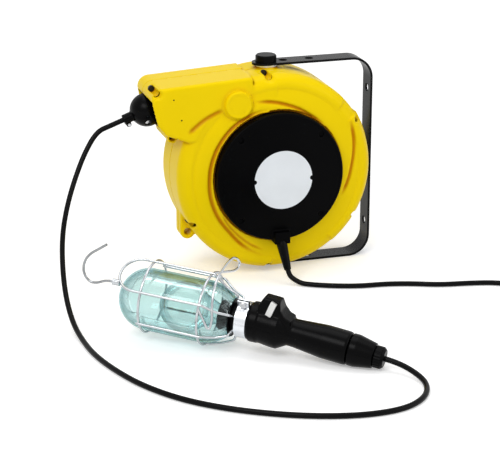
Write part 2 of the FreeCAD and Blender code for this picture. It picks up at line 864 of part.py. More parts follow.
    # bushes for the cable rollers and the axle
    if front:
        cuts.append(round_bar(S.contact_opening_radius, 30, 80))
        notch = float(S.gland_boss_width / 2 + S.seat_gap)
        boss_low = -float(S.cover_radius + S.gland_boss_reach + S.seat_gap)
        cuts.append(Part.makeBox(2 * notch, 30, 20, vec(-notch, boss_low, S.cover_seat_depth)))
        for angle in (45, 135, 225, 315):
            x, y = polar(cover_screw_circle, angle)
            cuts.append(round_bar(S.cover_screw_radius + S.fit_gap, 30, 80, x, y))
    else:
        cuts.append(round_bar(S.axle_radius + S.fit_gap, 30, 80))
    return body.cut(cuts)


def make_shells():
    front = casing_half(True)
    rear = casing_half(False)
    rear = rear.mirror(vec(0, 0, 0), Z_AXIS)
    for label, shape in (("front_shell", front), ("rear_shell", rear)):
        if len(shape.Solids) != 1:
            raise ValueError(f"{label} is not in one piece")
        keep(label, solid(shape), CASING)


def make_shell_screws():
    screws = []
    depth = S.screw_recess_depth
    for x, y in shell_screw_places():
        head = cylinder(S.screw_head_radius, S.screw_head_height, x, y, depth)
        shank = cylinder(S.screw_radius, depth + S.screw_grip, x, y, -S.screw_grip)
        screws.append(fuse(head, shank))
    keep("casing_screws", group(*screws), CASING)


# ----------------------------------------------------------------- contact cover
def make_cover():
    seat = S.cover_seat_depth
    rim = seat + S.cover_rim_height
    top = seat + S.cover_dome_height
    wall = S.cover_wall
    land = S.cover_radius - S.cover_rim_land
    shell = turned(None, [
        (S.cover_radius, seat), (S.cover_radius, rim - 1.5), (S.cover_radius - 1.5, rim), (land, rim),
        (S.label_radius, top), (0, top), (0, top - wall), (S.label_radius, top - wall),
        (land, rim - wall), (S.cover_radius - wall, rim - wall), (S.cover_radius - wall, seat),
    ])
    posts = []
    holes = []
    for angle in (45, 135, 225, 315):
        x, y = polar(cover_screw_circle, angle)
        posts.append(cylinder(S.cover_post_radius, S.cover_rim_height - 1, x, y, seat))
        holes.append(cylinder(S.cover_screw_radius + S.fit_gap, 40, x, y, seat - 1))
        holes.append(cylinder(S.cover_screw_head_radius + S.fit_gap, 20, x, y, rim - 3))
    boss_low = S.cover_radius + S.gland_boss_reach
    boss = box(S.gland_boss_width, S.gland_boss_length, S.gland_boss_depth - seat,
               -S.gland_boss_width / 2, -boss_low, seat)
    relief_hole = cylinder(S.relief_root_radius + S.fit_gap, 60, *relief_root_local(), relief_turn_local())
    cover = cut(fuse(shell, boss, *posts), *holes, relief_hole)
    keep("contact_cover", cover, CASING)
    label = cylinder(S.label_radius, S.label_thick, 0, 0, top)
    notches = [cylinder(S.label_notch_radius, 2, side * S.label_radius, 0, top - 0.5) for side in (-1, 1)]
    keep("rating_label", cut(label, *notches), CASING)
    screws = []
    for angle in (45, 135, 225, 315):
        x, y = polar(cover_screw_circle, angle)
        head = cylinder(S.cover_screw_head_radius, 2, x, y, rim - 3)
        shank = cylinder(S.cover_screw_radius, S.cover_rim_height, x, y, seat - 3)
        screws.append(fuse(head, shank))
    keep("cover_screws", group(*screws), CASING)


# The supply lead leaves the cover's lower edge forwards and down.
RELIEF_EXIT = (0.2, -(S.cover_seat_depth + 18.5), axle_height - S.cover_radius - 2.8)
RELIEF_AIM = (0.084, -0.479, -0.873)
RELIEF_BURY = 9.0


def relief_axis():
    aim = vec(*RELIEF_AIM)
    aim.normalize()
    return vec(*RELIEF_EXIT), aim


def relief_root_local():
    start, aim = relief_axis()
    root = CASING.inverse().multVec(start - aim * RELIEF_BURY)
    return root.x, root.y, root.z


def relief_turn_local():
    aim = relief_axis()[1]
    local = CASING.inverse().Rotation.multVec(aim)
    return FreeCAD.Rotation(Z_AXIS, local)


def relief_tip():
    start, aim = relief_axis()
    return start + aim * float(S.relief_length)


def make_relief():
    start, aim = relief_axis()
    bury = RELIEF_BURY
    bore = cable_radius + S.fit_gap
    end = bury + S.relief_length
    place = FreeCAD.Placement(start - aim * bury, FreeCAD.Rotation(Z_AXIS, aim))
    turned("feed_strain_relief", [
        (bore, 0), (S.relief_root_radius, 0), (S.relief_root_radius, bury + 4),
        (S.relief_tip_radius, end), (bore, end)], place)


# ----------------------------------------------------------------- drum and axle
def make_drum():
    half = S.drum_half_width
    thick = S.drum_flange_thick
    inner = S.hub_radius - S.hub_wall
    bore = S.axle_radius + S.fit_gap
    face = half - thick
    boss = S.drum_bearing_radius
    turned("drum", [
        (bore, face - 6), (boss, face - 6), (boss, face), (inner, face), (inner, -half),
        (S.drum_flange_radius, -half), (S.drum_flange_radius, -face), (S.hub_radius, -face),
        (S.hub_radius, face), (S.drum_flange_radius, face), (S.drum_flange_radius, half),
        (boss, half), (boss, half + S.drum_bearing_length), (bore, half + S.drum_bearing_length),
    ], CASING)
    turned("spring_cap", [
        (bore, -half), (inner - S.fit_gap, -half), (inner - S.fit_gap, -face), (boss, -face),
        (boss, -face + 5), (bore, -face + 5)], CASING)
    turned("cable_winding", [
        (S.hub_radius + S.fit_gap, -face + 0.1), (S.winding_radius, -face + 0.1),
        (S.winding_radius, face - 0.1), (S.hub_radius + S.fit_gap, face - 0.1)], CASING)
    wall_in = S.rear_face_depth - S.casing_wall - 2
    flange_low = -wall_in
    tail = S.rear_face_depth + S.axle_tail
    turned("axle", [
        (0, -tail), (S.axle_radius, -tail), (S.axle_radius, flange_low + S.fit_gap),
        (S.axle_flange_radius, flange_low + S.fit_gap),
        (S.axle_flange_radius, flange_low + S.axle_flange_thick),
        (S.axle_radius, flange_low + S.axle_flange_thick),
        (S.axle_radius, S.axle_front_end), (0, S.axle_front_end)], CASING)
    nut = doc.addObject("Part::Prism", "Hexagon")
    nut.Polygon = 6
    bind(nut, "Circumradius", S.axle_nut_flats / math.sqrt(3))
    bind(nut, "Height", S.axle_nut_height)
    nut.Placement = at(0, 0, -(S.rear_face_depth + S.axle_nut_height))
    hole = cylinder(S.axle_radius + S.fit_gap, S.axle_nut_height + 4,
                    0, 0, -(S.rear_face_depth + S.axle_nut_height + 2))
    keep("axle_nut", cut(nut, hole), CASING)


def make_spring():
    """A flat spiral strip: half circles about two centres, half a pitch apart."""
    start = float(S.axle_radius) + 0.6
    thick = float(S.spring_thick)
    reach = float(S.hub_radius - S.hub_wall - S.spring_clearance)
    step = (reach - thick - start) / float(S.spring_turns) / 2

    def spiral(extra):
        arcs = []
        end_x = start
        for index in range(2 * int(float(S.spring_turns))):
            radius = start + index * step
            side = 1 if index % 2 == 0 else -1
            centre = end_x - side * radius
            first = (centre + side * (radius + extra), 0)
            last = (centre - side * (radius + extra), 0)
            arcs.append((first, (centre, side * (radius + extra)), last))
            end_x = centre - side * radius
        return arcs

    inner = spiral(0)
    outer = spiral(thick)
    edges = [arc_through(*points) for points in inner]
    edges.append(line(inner[-1][2], outer[-1][2]))
    edges += [arc_through(*points) for points in reversed(outer)]
    edges.append(line(outer[0][0], inner[0][0]))
    low = -float(S.spring_width) / 2
    shape = prism(Part.Wire(Part.__sortEdges__(edges)), low, -low)
    keep("main_spring", solid(shape), CASING)


def make_contacts():
    start = S.ring_carrier_start
    front = start + S.ring_carrier_thick
    boss = S.drum_bearing_radius
    half = S.drum_half_width
    turned("slip_ring_carrier", [
        (boss + S.fit_gap, half), (boss + 5, half), (boss + 5, start), (S.ring_carrier_radius, start),
        (S.ring_carrier_radius, front), (0, front), (0, start), (boss + S.fit_gap, start)], CASING)
    rings = []
    for radius in (S.ring_inner_radius, S.ring_outer_radius):
        outer = cylinder(radius + S.ring_band / 2, S.ring_thick, 0, 0, front)
        inner = cylinder(radius - S.ring_band / 2, S.ring_thick + 2, 0, 0, front - 1)
        rings.append(cut(outer, inner))
    keep("slip_rings", group(*rings), CASING)
    seat = S.cover_seat_depth
    half_length = S.holder_length / 2
    low = seat + 1
    bar = box(S.holder_width, S.holder_length, S.holder_thick, -S.holder_width / 2, -half_length, low)
    feet = [box(S.holder_width, S.holder_foot, 1, -S.holder_width / 2, y, seat)
            for y in (-half_length, half_length - S.holder_foot)]
    slots = []
    brushes = []
    springs = []
    brush_low = front + S.ring_thick + S.seat_gap
    size = S.brush_size
    for y in (S.ring_inner_radius, -S.ring_outer_radius):
        slots.append(box(size + 0.2, size + 0.2, 40, -size / 2 - 0.1, y - size / 2 - 0.1, seat - 10))
        brushes.append(box(size, size, low + S.holder_thick - brush_low, -size / 2, y - size / 2, brush_low))
        springs.append(box(size - 1, 14, 0.5, -size / 2 + 0.5, y - 7, low + S.holder_thick))
    keep("brush_holder", cut(fuse(bar, *feet), *slots), CASING)
    keep("brushes", group(*brushes), CASING)
    keep("brush_springs", group(*springs), CASING)
    boss_end = S.cover_radius + S.gland_boss_reach - S.gland_boss_length
    block_y = -(half_length + boss_end) / 2
    block = box(28, 12, 11, -14, block_y - 6, seat)
    wells = [cylinder(2.6, 4, x, block_y, seat + 8) for x in (-7, 7)]
    keep("terminal_block", cut(block, *wells), CASING)
    screws = [cylinder(2.5, 2.5, x, block_y, seat + 8) for x in (-7, 7)]
    keep("terminal_screws", group(*screws), CASING)


# ----------------------------------------------------------------- ratchet
PAWL_ANGLE = 200.0
PAWL_TIP = (-12.7, 18.7)


def make_ratchet():
    teeth = int(float(S.ratchet_teeth))
    root = S.ratchet_radius - S.ratchet_tooth_depth
    low = S.drum_half_width + S.fit_gap
    ring = cylinder(root, S.ratchet_thick, 0, 0, low)
    pitch = 360.0 / teeth
    gap_angle = PAWL_ANGLE + 17.7
    blocks = []
    for index in range(teeth):
        angle = gap_angle + pitch * (index + 0.5)
        x, y = polar(root - 2, angle - 5.5)
        blocks.append(box(S.ratchet_tooth_depth + 2, 9.5, S.ratchet_thick, x, y, low, turn(Z_AXIS, angle)))
    rim = cylinder(S.ratchet_radius, S.ratchet_thick, 0, 0, low)
    toothed = common(fuse(ring, *blocks), rim)
    bore = cylinder(S.drum_bearing_radius + 5 + S.fit_gap, S.ratchet_thick + 4, 0, 0, low - 2)
    keep("ratchet_wheel", cut(toothed, bore), CASING)

    pawl_low = low + (S.ratchet_thick - S.pawl_thick) / 2
    x, y = polar(pawl_pivot_radius, PAWL_ANGLE)
    tip_x, tip_y = PAWL_TIP
    arm = Part.makePolygon([
        vec(4, 1), vec(tip_x + 2.2, tip_y + 0.6), vec(tip_x, tip_y + 1), vec(tip_x - 0.6, tip_y - 0.6),
        vec(-4, -1.5), vec(4, 1)])
    arm = prism(Part.Wire(arm), pawl_low, pawl_low + S.pawl_thick)
    hub = round_bar(S.pawl_hub_radius, pawl_low, pawl_low + S.pawl_thick)
    hole = round_bar(S.pawl_pin_radius + S.fit_gap, 0, 80)
    pawl = arm.fuse(hub).cut(hole)
    pawl.rotate(vec(0, 0), Z_AXIS, PAWL_ANGLE)
    pawl.translate(vec(x, y))
    keep("pawl", solid(pawl), CASING)
    wall_in = S.cover_seat_depth - S.casing_wall
    pin = cylinder(S.pawl_pin_radius, wall_in - low - 0.2, x, y, low + 0.2)
    head_low = pawl_low + S.pawl_thick + S.seat_gap
    head = cylinder(S.pawl_pin_radius + 2, wall_in - head_low, x, y, head_low)
    keep("pawl_pin", fuse(pin, head), CASING)
    spring_low = pawl_low
    leaf_x, leaf_y = polar(pawl_pivot_radius + 7, PAWL_ANGLE)
    leaf = box(0.6, 20, wall_in - spring_low, leaf_x, leaf_y, spring_low, turn(Z_AXIS, PAWL_ANGLE + 8))
    keep("pawl_spring", leaf, CASING)


# ----------------------------------------------------------------- cable mouth
def make_mouth():
    seat = float(S.ball_seat_radius)
    touch = math.sqrt(float(S.ball_radius) ** 2 - seat ** 2) + 0.2
    thick = float(S.mouth_plate_thick)
    front = float(S.snout_front_depth - S.casing_wall - S.seat_gap)
    rear = -float(S.snout_rear_depth - S.casing_wall - S.seat_gap)
    roller_at = float(S.roller_reach)
    radius = float(S.roller_radius)
    offset = radius + float(cable_radius) + 1.15
    cheek = float(S.cheek_thick)
    inner_cheek = float(S.roller_length) / 2 + float(S.seat_gap)
    side_radius = float(S.side_roller_radius)
    side_reach = roller_at + radius + side_radius + 0.8
    side_low = -17.5
    side_high = side_low + float(S.side_roller_length)
    gap = float(S.seat_gap)
    plate = Part.makeBox(thick, 42, front - rear, vec(touch, -19.5, rear))
    far = side_reach + side_radius + 0.5
    frame = [plate]
    for low in (inner_cheek, -inner_cheek - cheek):
        frame.append(Part.makeBox(far - touch, 38, cheek, vec(touch, -19.5, low)))
    pad_from = roller_at + radius + 0.5
    for low in (side_low - gap - 2.5, side_high + gap):
        frame.append(Part.makeBox(far - pad_from, 2.5, 2 * inner_cheek, vec(pad_from, low, -inner_cheek)))
    guide = frame[0].fuse(frame[1:])
    pin_hole = float(S.roller_pin_radius + S.fit_gap)
    cuts = [Part.makeCylinder(seat, thick + 2, vec(touch - 1, 0, 0), X_AXIS)]
    for side in (1, -1):
        cuts.append(round_bar(pin_hole, -60, 60, roller_at, side * offset))
    side_offset = side_radius + float(cable_radius) + 1.15
    for side in (1, -1):
        cuts.append(Part.makeCylinder(pin_hole, 60, vec(side_reach, -40, side * side_offset), Y_AXIS))
    keep("mouth_guide", solid(guide.cut(cuts)), MOUTH)
    bore = S.roller_pin_radius + S.fit_gap
    half = S.roller_length / 2
    pins = []
    pin_half = inner_cheek + cheek
    for label, side in (("guide_roller_upper", 1), ("guide_roller_lower", -1)):
        place = MOUTH.multiply(at(roller_at, side * offset, 0))
        turned(label, [(bore, -half), (S.roller_radius, -half), (S.roller_radius, half), (bore, half)], place)
        pins.append(cylinder(S.roller_pin_radius, 2 * pin_half, roller_at, side * offset, -pin_half))
    upright = turn(X_AXIS, -90)
    for label, side in (("guide_roller_front", 1), ("guide_roller_back", -1)):
        place = MOUTH.multiply(at(side_reach, side_low, side * side_offset, upright))
        turned(label, [
            (bore, 0), (S.side_roller_radius, 0), (S.side_roller_radius, S.side_roller_length),
            (bore, S.side_roller_length)], place)
        pins.append(cylinder(S.roller_pin_radius, side_high - side_low + 2 * (gap + 2.5),
                             side_reach, side_low - gap - 2.5, side * side_offset, upright))
    keep("roller_pins", group(*pins), MOUTH)
    return roller_at, offset


def make_ball_stop():
    """Two clamped halves round the cable: a ball that stops at the mouth, and a sleeve."""
    bore = float(cable_radius + S.fit_gap)
    lug_x = -float(S.sleeve_length) + 4.2
    lug_y = -float(S.sleeve_radius) - 1.2
    lug_radius = 3.2
    for label, side in (("ball_stop_front", 1), ("ball_stop_rear", -1)):
        body = Part.makeSphere(float(S.ball_radius))
        sleeve = Part.makeCylinder(float(S.sleeve_radius), float(S.sleeve_length), vec(0, 0, 0), -X_AXIS)
        sleeve_lug = round_bar(lug_radius, -4.5, 4.5, lug_x, lug_y)
        body = body.fuse([sleeve, sleeve_lug])
        half_space = Part.makeBox(200, 100, 50, vec(-120, -50, 0 if side > 0 else -50))
        body = body.common(half_space)
        holes = [Part.makeCylinder(bore, 200, vec(-100, 0, 0), X_AXIS),
                 round_bar(1.05, -30, 30, lug_x, lug_y)]
        for x in (-6.0, 8.0):
            holes.append(round_bar(1.55, -30, 30, x, -11))
            holes.append(round_bar(3.2, 9, 30, x, -11))
        keep(label, solid(body.cut(holes)), MOUTH)
    screws = []
    for x, y, thick, low, high, head in ((lug_x, lug_y, 1.0, -4.2, 4.5, 2.0),
                                         (-6.0, -11, 1.5, -12, 9, 2.8), (8.0, -11, 1.5, -12, 9, 2.8)):
        shank = cylinder(thick, high - low, x, y, low)
        screws.append(fuse(shank, cylinder(head, 1.5, x, y, high)))
    keep("ball_stop_screws", group(*screws), MOUTH)


def make_inner_lead(roller_at, offset):
    """The cable from the winding's top, over the lower roller and out through the ball."""
    tilt = math.radians(float(S.exit_tilt))
    along = vec(math.cos(tilt), math.sin(tilt))
    across = vec(-math.sin(tilt), math.cos(tilt))
    origin = vec(ball_x, ball_y)
    sleeve_end = origin - along * float(S.sleeve_length)
    centre = origin + along * roller_at - across * offset
    winding = float(S.winding_radius + cable_radius + S.seat_gap)
    span = centre.Length
    towards = math.atan2(-centre.y, -centre.x)
    aim = towards + math.asin((winding - offset) / span)
    normal = vec(-math.sin(aim), math.cos(aim))
    bend_start = centre + across * offset
    bend_end = centre + normal * offset
    middle = across + normal
    middle.normalize()
    wire = Part.Wire([
        Part.LineSegment(sleeve_end, bend_start).toShape(),
        Part.Arc(bend_start, centre + middle * offset, bend_end).toShape(),
        Part.LineSegment(bend_end, normal * winding).toShape(),
    ])
    section = Part.Wire([Part.Circle(sleeve_end, along, float(cable_radius)).toShape()])
    keep("inner_lead", solid(wire.makePipeShell([section], True, False)), CASING)


# ----------------------------------------------------------------- cords
def lamp_rotation(drop):
    """Local Z along the lamp's heading and down by drop, local X level, local Y up."""
    heading = math.radians(float(S.lamp_heading))
    along = vec(math.cos(heading) * math.cos(drop), math.sin(heading) * math.cos(drop), -math.sin(drop))
    side = Z_AXIS.cross(along)
    side.normalize()
    return FreeCAD.Rotation(side, along.cross(side), along, "ZXY")


def lamp_frames():
    """The hand lamp's two frames: its head, and its grip, which bends down behind the collar.

    The lamp lies on the cage's lowest rail, at its rear end, and on the widest part of its boot."""
    drop = math.radians(float(S.head_pitch))
    rail_low = float(S.rail_radius - S.hoop_lift + S.wire_dia / 2)
    rail_end = float(S.hoop_back + S.wire_dia)
    height = rail_low * math.cos(drop) + rail_end * math.sin(drop)
    head = FreeCAD.Placement(vec(S.lamp_x, S.lamp_y, height), lamp_rotation(drop))
    pivot = head.multVec(vec(0, 0, S.bend_at))
    boot_low = float(S.boot_radius)
    reach = float(S.boot_start + S.boot_wide - S.bend_at)
    fall = math.asin(pivot.z / math.hypot(reach, boot_low)) - math.atan2(boot_low, reach)
    rotation = lamp_rotation(fall)
    return head, FreeCAD.Placement(pivot - rotation.multVec(vec(0, 0, S.bend_at)), rotation)


LAMP, GRIP = lamp_frames()

OUTLET_ROUTE = [
    (-236.0, -7.0, 170.0), (-252.0, -18.5, 140.0), (-266.0, -36.0, 112.0),
    (-277.5, -60.0, 84.0), (-284.5, -92.0, 54.0), (-288.0, -128.0, 28.0), (-287.0, -164.0, 9.5),
    (-283.5, -202.0, 3.25), (-279.0, -246.0, 3.25), (-266.0, -294.0, 3.25), (-246.0, -343.0, 3.25),
    (-214.0, -390.0, 3.25), (-172.0, -427.0, 3.25), (-125.0, -455.0, 3.25), (-79.0, -473.5, 3.25),
    (-34.0, -482.5, 3.25), (6.0, -479.0, 3.25), (33.0, -462.0, 3.25), (48.0, -439.0, 3.25),
    (52.0, -414.0, 4.6),
]
FEED_ROUTE = [
    (8.0, -93.0, 8.0), (16.5, -99.5, 3.6), (26.0, -105.5, 3.25), (38.0, -112.0, 3.25),
    (60.0, -121.5, 3.25), (87.0, -129.0, 3.25), (117.0, -131.0, 3.25), (148.0, -139.0, 3.25),
    (182.0, -153.5, 3.25), (218.0, -158.5, 3.25), (250.0, -166.0, 3.25), (271.0, -180.0, 3.25),
]
COIL_CENTRE = (326.0, -190.0)
PLUG_AT = (409.0, -166.0)


def make_cords():
    sleeve = float(S.sleeve_length)
    start = MOUTH.multVec(vec(-sleeve, 0, 0))
    beyond = MOUTH.multVec(vec(-sleeve - 36.0, 0, 0))
    end = GRIP.multVec(vec(0, 0, S.nut_end))
    before = GRIP.multVec(vec(0, 0, S.nut_end + 19.0))
    route = [tuple(start), tuple(beyond)] + OUTLET_ROUTE + [tuple(before), tuple(end)]
    shape, wire, radii = tube(route, S.cable_dia)
    print("outlet_cable length", round(wire.Length, 1), "radii", [round(r) for r in radii])
    keep("outlet_cable", solid(shape))
    start, aim = relief_axis()
    tip = start + aim * float(S.relief_length + 6)
    feed = [tuple(start), tuple(tip)] + FEED_ROUTE
    centre_x, centre_y = COIL_CENTRE
    low = float(cable_radius)
    edge = float(S.coil_radius + S.coil_width / 2) + 1.0
    entry_x, entry_y = polar(edge, 212)
    lead_x, lead_y = polar(14.0, 212 - 90)
    feed.append((centre_x + entry_x + lead_x, centre_y + entry_y + lead_y, low))
    feed.append((centre_x + entry_x, centre_y + entry_y, low))
    shape, wire, radii = tube(feed, S.cable_dia)
    print("feed_cable length", round(wire.Length, 1), "radii", [round(r) for r in radii])
    keep("feed_cable", solid(shape))
    ring = Part.makeCylinder(float(S.coil_radius + S.coil_width / 2), float(S.coil_height),
                             vec(centre_x, centre_y, 0))
    hole = Part.makeCylinder(float(S.coil_radius - S.coil_width / 2), float(S.coil_height) + 2,
                             vec(centre_x, centre_y, -1))
    ring = ring.cut(hole)
    ring = ring.makeFillet(float(S.coil_height) * 0.3, [edge for edge in ring.Edges if edge.isClosed()])
    keep("feed_cable_coil", solid(ring))
    plug_x, plug_y = PLUG_AT
    centre_z = float(S.plug_thick) / 2
    entry_x, entry_y = polar(edge, -10)
    lead_x, lead_y = polar(13.0, 80)
    lead = [(centre_x + entry_x, centre_y + entry_y, low + 3.0),
            (centre_x + entry_x + lead_x, centre_y + entry_y + lead_y, low + 4.2),
            (centre_x + entry_x + 12.0, centre_y + entry_y + 26.0, 9.0),
            (plug_x - 13.0, plug_y, centre_z), (plug_x, plug_y, centre_z)]
    shape, wire, radii = tube(lead, S.cable_dia)
    print("feed_cable_end length", round(wire.Length, 1), "radii", [round(r) for r in radii])
    keep("feed_cable_end", solid(shape))
    make_plug(plug_x, plug_y, centre_z)


def make_plug(x, y, z):
    """A moulded two-pin plug: oval body, tapered tail and two round pins along +X."""
    body = box(S.plug_length - 26, S.plug_width, S.plug_thick, 26, -S.plug_width / 2, -S.plug_thick / 2)
    rounded = doc.addObject("Part::Fillet", "PlugRounding")
    doc.recompute()
    rounded.Base = body
    along = [n for n, edge in enumerate(body.Shape.Edges, start=1)
             if abs(edge.tangentAt(edge.FirstParameter).x) > 0.9]
    radius = float(S.plug_thick) * 0.42
    rounded.Edges = [(n, radius, radius) for n in along]
    tail = cone(cable_radius + 1.6, 10.5, 28, 0, 0, 0, turn(Y_AXIS, 90))
    place = at(x, y, z)
    keep("plug_body", fuse(rounded, tail), place)
    pins = []
    for side in (-1, 1):
        pins.append(cylinder(S.plug_pin_radius, S.plug_pin_length, S.plug_length,
                             side * S.plug_pin_pitch / 2, 0, turn(Y_AXIS, 90)))
    keep("plug_pins", group(*pins), place)


# ----------------------------------------------------------------- hand lamp
# Angles of the cage's rails round the hoops' centre: the first two are the legs
# of one long bow, the others end at the front hoop.
BOW_ANGLES = (90, 154)
RAIL_ANGLES = [207, 270, 322, 395]
# The hook's swivel: its bush stands on the bow, beside the lamp's axis.
HOOK_SIDE = -31.4
HOOK_UP = 26.3
HOOK_BUSH_LOW = -63.5
HOOK_BUSH_END = -54.8
HOOK_SOCKET = 5.8
HOOK_SHAPE = [
    (25.0, -74.0), (20.6, -83.0), (19.6, -91.0), (24.0, -97.2), (31.6, -101.0), (39.5, -101.0),
    (48.2, -98.1), (55.6, -92.0), (62.5, -82.8), (69.8, -73.4),
]
# The finger loop at the rear hoop, from the hoop's side over its top and back.
LOOP_SHAPE = [
    (-37.6, 4.0, 52.5), (-36.4, -8.0, 58.5), (-34.2, 6.0, 60.8), (-33.8, 20.0, 59.2), (-29.0, 32.4, 57.8),
    (-19.0, 44.0, 56.2), (-3.0, 49.6, 54.6), (10.0, 51.6, 54.0), (25.3, 54.5, 54.0), (42.3, 54.3, 54.0),
    (58.0, 47.2, 54.0), (68.2, 38.4, 54.0), (62.0, 33.6, 54.0), (48.0, 35.4, 54.0), (30.0, 40.6, 52.4),
]


def on_lamp(radius, angle, along):
    x, y = polar(radius, angle)
    return (x, y, float(along))


def on_cage(radius, angle, along):
    x, y = polar(radius, angle)
    return (x, y + float(S.hoop_lift), float(along))


def rail_tail(angle):
    """A rail's rear end: down over the glass and in under the clamp band."""
    neck = float(S.band_core_radius + S.wire_dia / 2 + S.fit_gap)
    clear = float(S.wire_dia / 2) + 3.8
    band = float(S.band_start)
    return [
        on_lamp(neck, angle, band + 10), on_lamp(neck, angle, band - 2.2),
        on_lamp(float(S.glass_neck_radius) + clear, angle, float(S.glass_end) + 3.2),
        on_lamp(float(S.glass_waist_radius) + 1.4, angle, float(S.glass_waist) + 8),
        on_cage(S.rail_radius, angle, S.hoop_back + S.wire_dia),
    ]


def make_bow():
    """The long bow: two rails joined ahead of the front hoop by a half circle."""
    first, second = BOW_ANGLES
    half = math.radians((second - first) / 2)
    middle = math.radians((first + second) / 2)
    rail = float(S.rail_radius)
    nose_radius = rail * math.sin(half)
    foot = float(S.hoop_front - S.nose_start)
    centre = vec(rail * math.cos(half) * math.cos(middle),
                 rail * math.cos(half) * math.sin(middle) + float(S.hoop_lift), foot)
    across = vec(math.sin(middle), -math.cos(middle), 0)
    corner = nose_radius / math.cos(math.radians(22.5))
    nose = []
    for step in range(4):
        x, y = polar(corner, 22.5 + 45 * step)
        nose.append(tuple(centre + across * x - Z_AXIS * y))
    joint = S.hoop_back - 2 * S.wire_dia
    ends = [on_cage(rail, angle, joint) for angle in BOW_ANGLES]
    legs = [tube(rail_tail(angle) + [end], S.wire_dia, bend=4.0)[0] for angle, end in zip(BOW_ANGLES, ends)]
    return tube(ends[:1] + nose + ends[1:], S.wire_dia)[0].fuse(legs)


def make_cage():
    pieces = [make_bow()]
    for angle in RAIL_ANGLES:
        route = rail_tail(angle) + [on_cage(S.rail_radius, angle, S.hoop_front - S.wire_dia)]
        pieces.append(tube(route, S.wire_dia, bend=4.0)[0])
    for along in (S.hoop_front, S.hoop_back):
        pieces.append(torus(S.hoop_radius, S.wire_dia / 2, 0, S.hoop_lift, along))
    bush_at = vec(HOOK_SIDE, HOOK_UP, HOOK_BUSH_LOW)
    pieces.append(Part.makeCylinder(3.8, HOOK_BUSH_END - HOOK_BUSH_LOW, bush_at))
    loop = [on_cage(S.hoop_radius, 160, S.hoop_back)] + LOOP_SHAPE + [on_cage(S.hoop_radius, 78, S.hoop_back)]
    pieces.append(tube(loop, S.wire_dia)[0])
    cage = pieces[0].fuse(pieces[1:])
    socket = Part.makeCylinder(float(S.hook_wire_dia) / 2 + 0.05, HOOK_SOCKET + 1,
                               vec(HOOK_SIDE, HOOK_UP, HOOK_BUSH_LOW - 1))
    cage = cage.cut(socket)
    if len(cage.Solids) != 1:
        raise ValueError("the cage is not in one piece")
    keep("cage", solid(cage), LAMP)
    shank = [(HOOK_SIDE, HOOK_UP, HOOK_BUSH_LOW + HOOK_SOCKET - 0.3),
             (HOOK_SIDE, HOOK_UP, HOOK_BUSH_LOW - 3.2)]
    shape = tube(shank + [(HOOK_SIDE, up, along) for up, along in HOOK_SHAPE], S.hook_wire_dia)[0]
    keep("hook", solid(shape), LAMP)


def make_glass():
    outer_radius = float(S.glass_radius)
    tip = float(S.glass_tip)
    shoulder = float(S.glass_shoulder)
    waist = vec(S.glass_waist_radius, S.glass_waist)
    neck = float(S.glass_neck_radius)
    end = float(S.glass_end)

    def dome(inset):
        radius = outer_radius - inset
        centre = tip + outer_radius
        lean = math.sqrt(0.5)
        return Part.Wire([
            arc_through((0, centre - radius), (radius * lean, centre - radius * lean), (radius, centre)),
            line((radius, centre), (radius, shoulder)),
            arc_through((radius, shoulder), (waist.x - inset, waist.y), (neck - inset, end - 2)),
            line((neck - inset, end - 2), (neck - inset, end + inset)),
            line((neck - inset, end + inset), (0, end + inset)),
            line((0, end + inset), (0, centre - radius)),
        ])

    def spin(wire):
        shape = Part.Face(wire).revolve(vec(0, 0), Y_AXIS, 360)
        shape.rotate(vec(0, 0), X_AXIS, 90)
        return shape

    glass = spin(dome(0)).cut(spin(dome(float(S.glass_wall))))
    keep("glass_dome", solid(glass), LAMP)

    cap_start = float(S.bulb_cap_start)
    bulb_radius = float(S.bulb_radius)
    sphere_at = cap_start - 47.0
    mouth = float(S.bulb_cap_radius) - 0.6
    joint_angle = math.radians(48)
    side = (bulb_radius * math.cos(joint_angle), sphere_at + bulb_radius * math.sin(joint_angle))
    bulb = Part.Wire([
        arc_through((0, sphere_at - bulb_radius), (bulb_radius, sphere_at), side),
        line(side, (mouth, cap_start - 8)),
        line((mouth, cap_start - 8), (mouth, cap_start)),
        line((mouth, cap_start), (0, cap_start)),
        line((0, cap_start), (0, sphere_at - bulb_radius)),
    ])
    keep("bulb_glass", solid(spin(bulb)), LAMP)
    cap_end = S.bulb_cap_end
    turned("bulb_cap", [
        (0, S.bulb_cap_start), (S.bulb_cap_radius, S.bulb_cap_start), (S.bulb_cap_radius, cap_end - 5),
        (5, cap_end), (0, cap_end)], LAMP)
    gap = S.fit_gap * 2
    turned("lamp_socket", [
        (S.bulb_cap_radius + gap, S.holder_cup_start + 4), (S.socket_radius, S.holder_cup_start + 4),
        (S.socket_radius, cap_end + 3), (0, cap_end + 3), (0, cap_end + gap), (5, cap_end + gap),
        (S.bulb_cap_radius + gap, cap_end - 5 + gap)], LAMP)


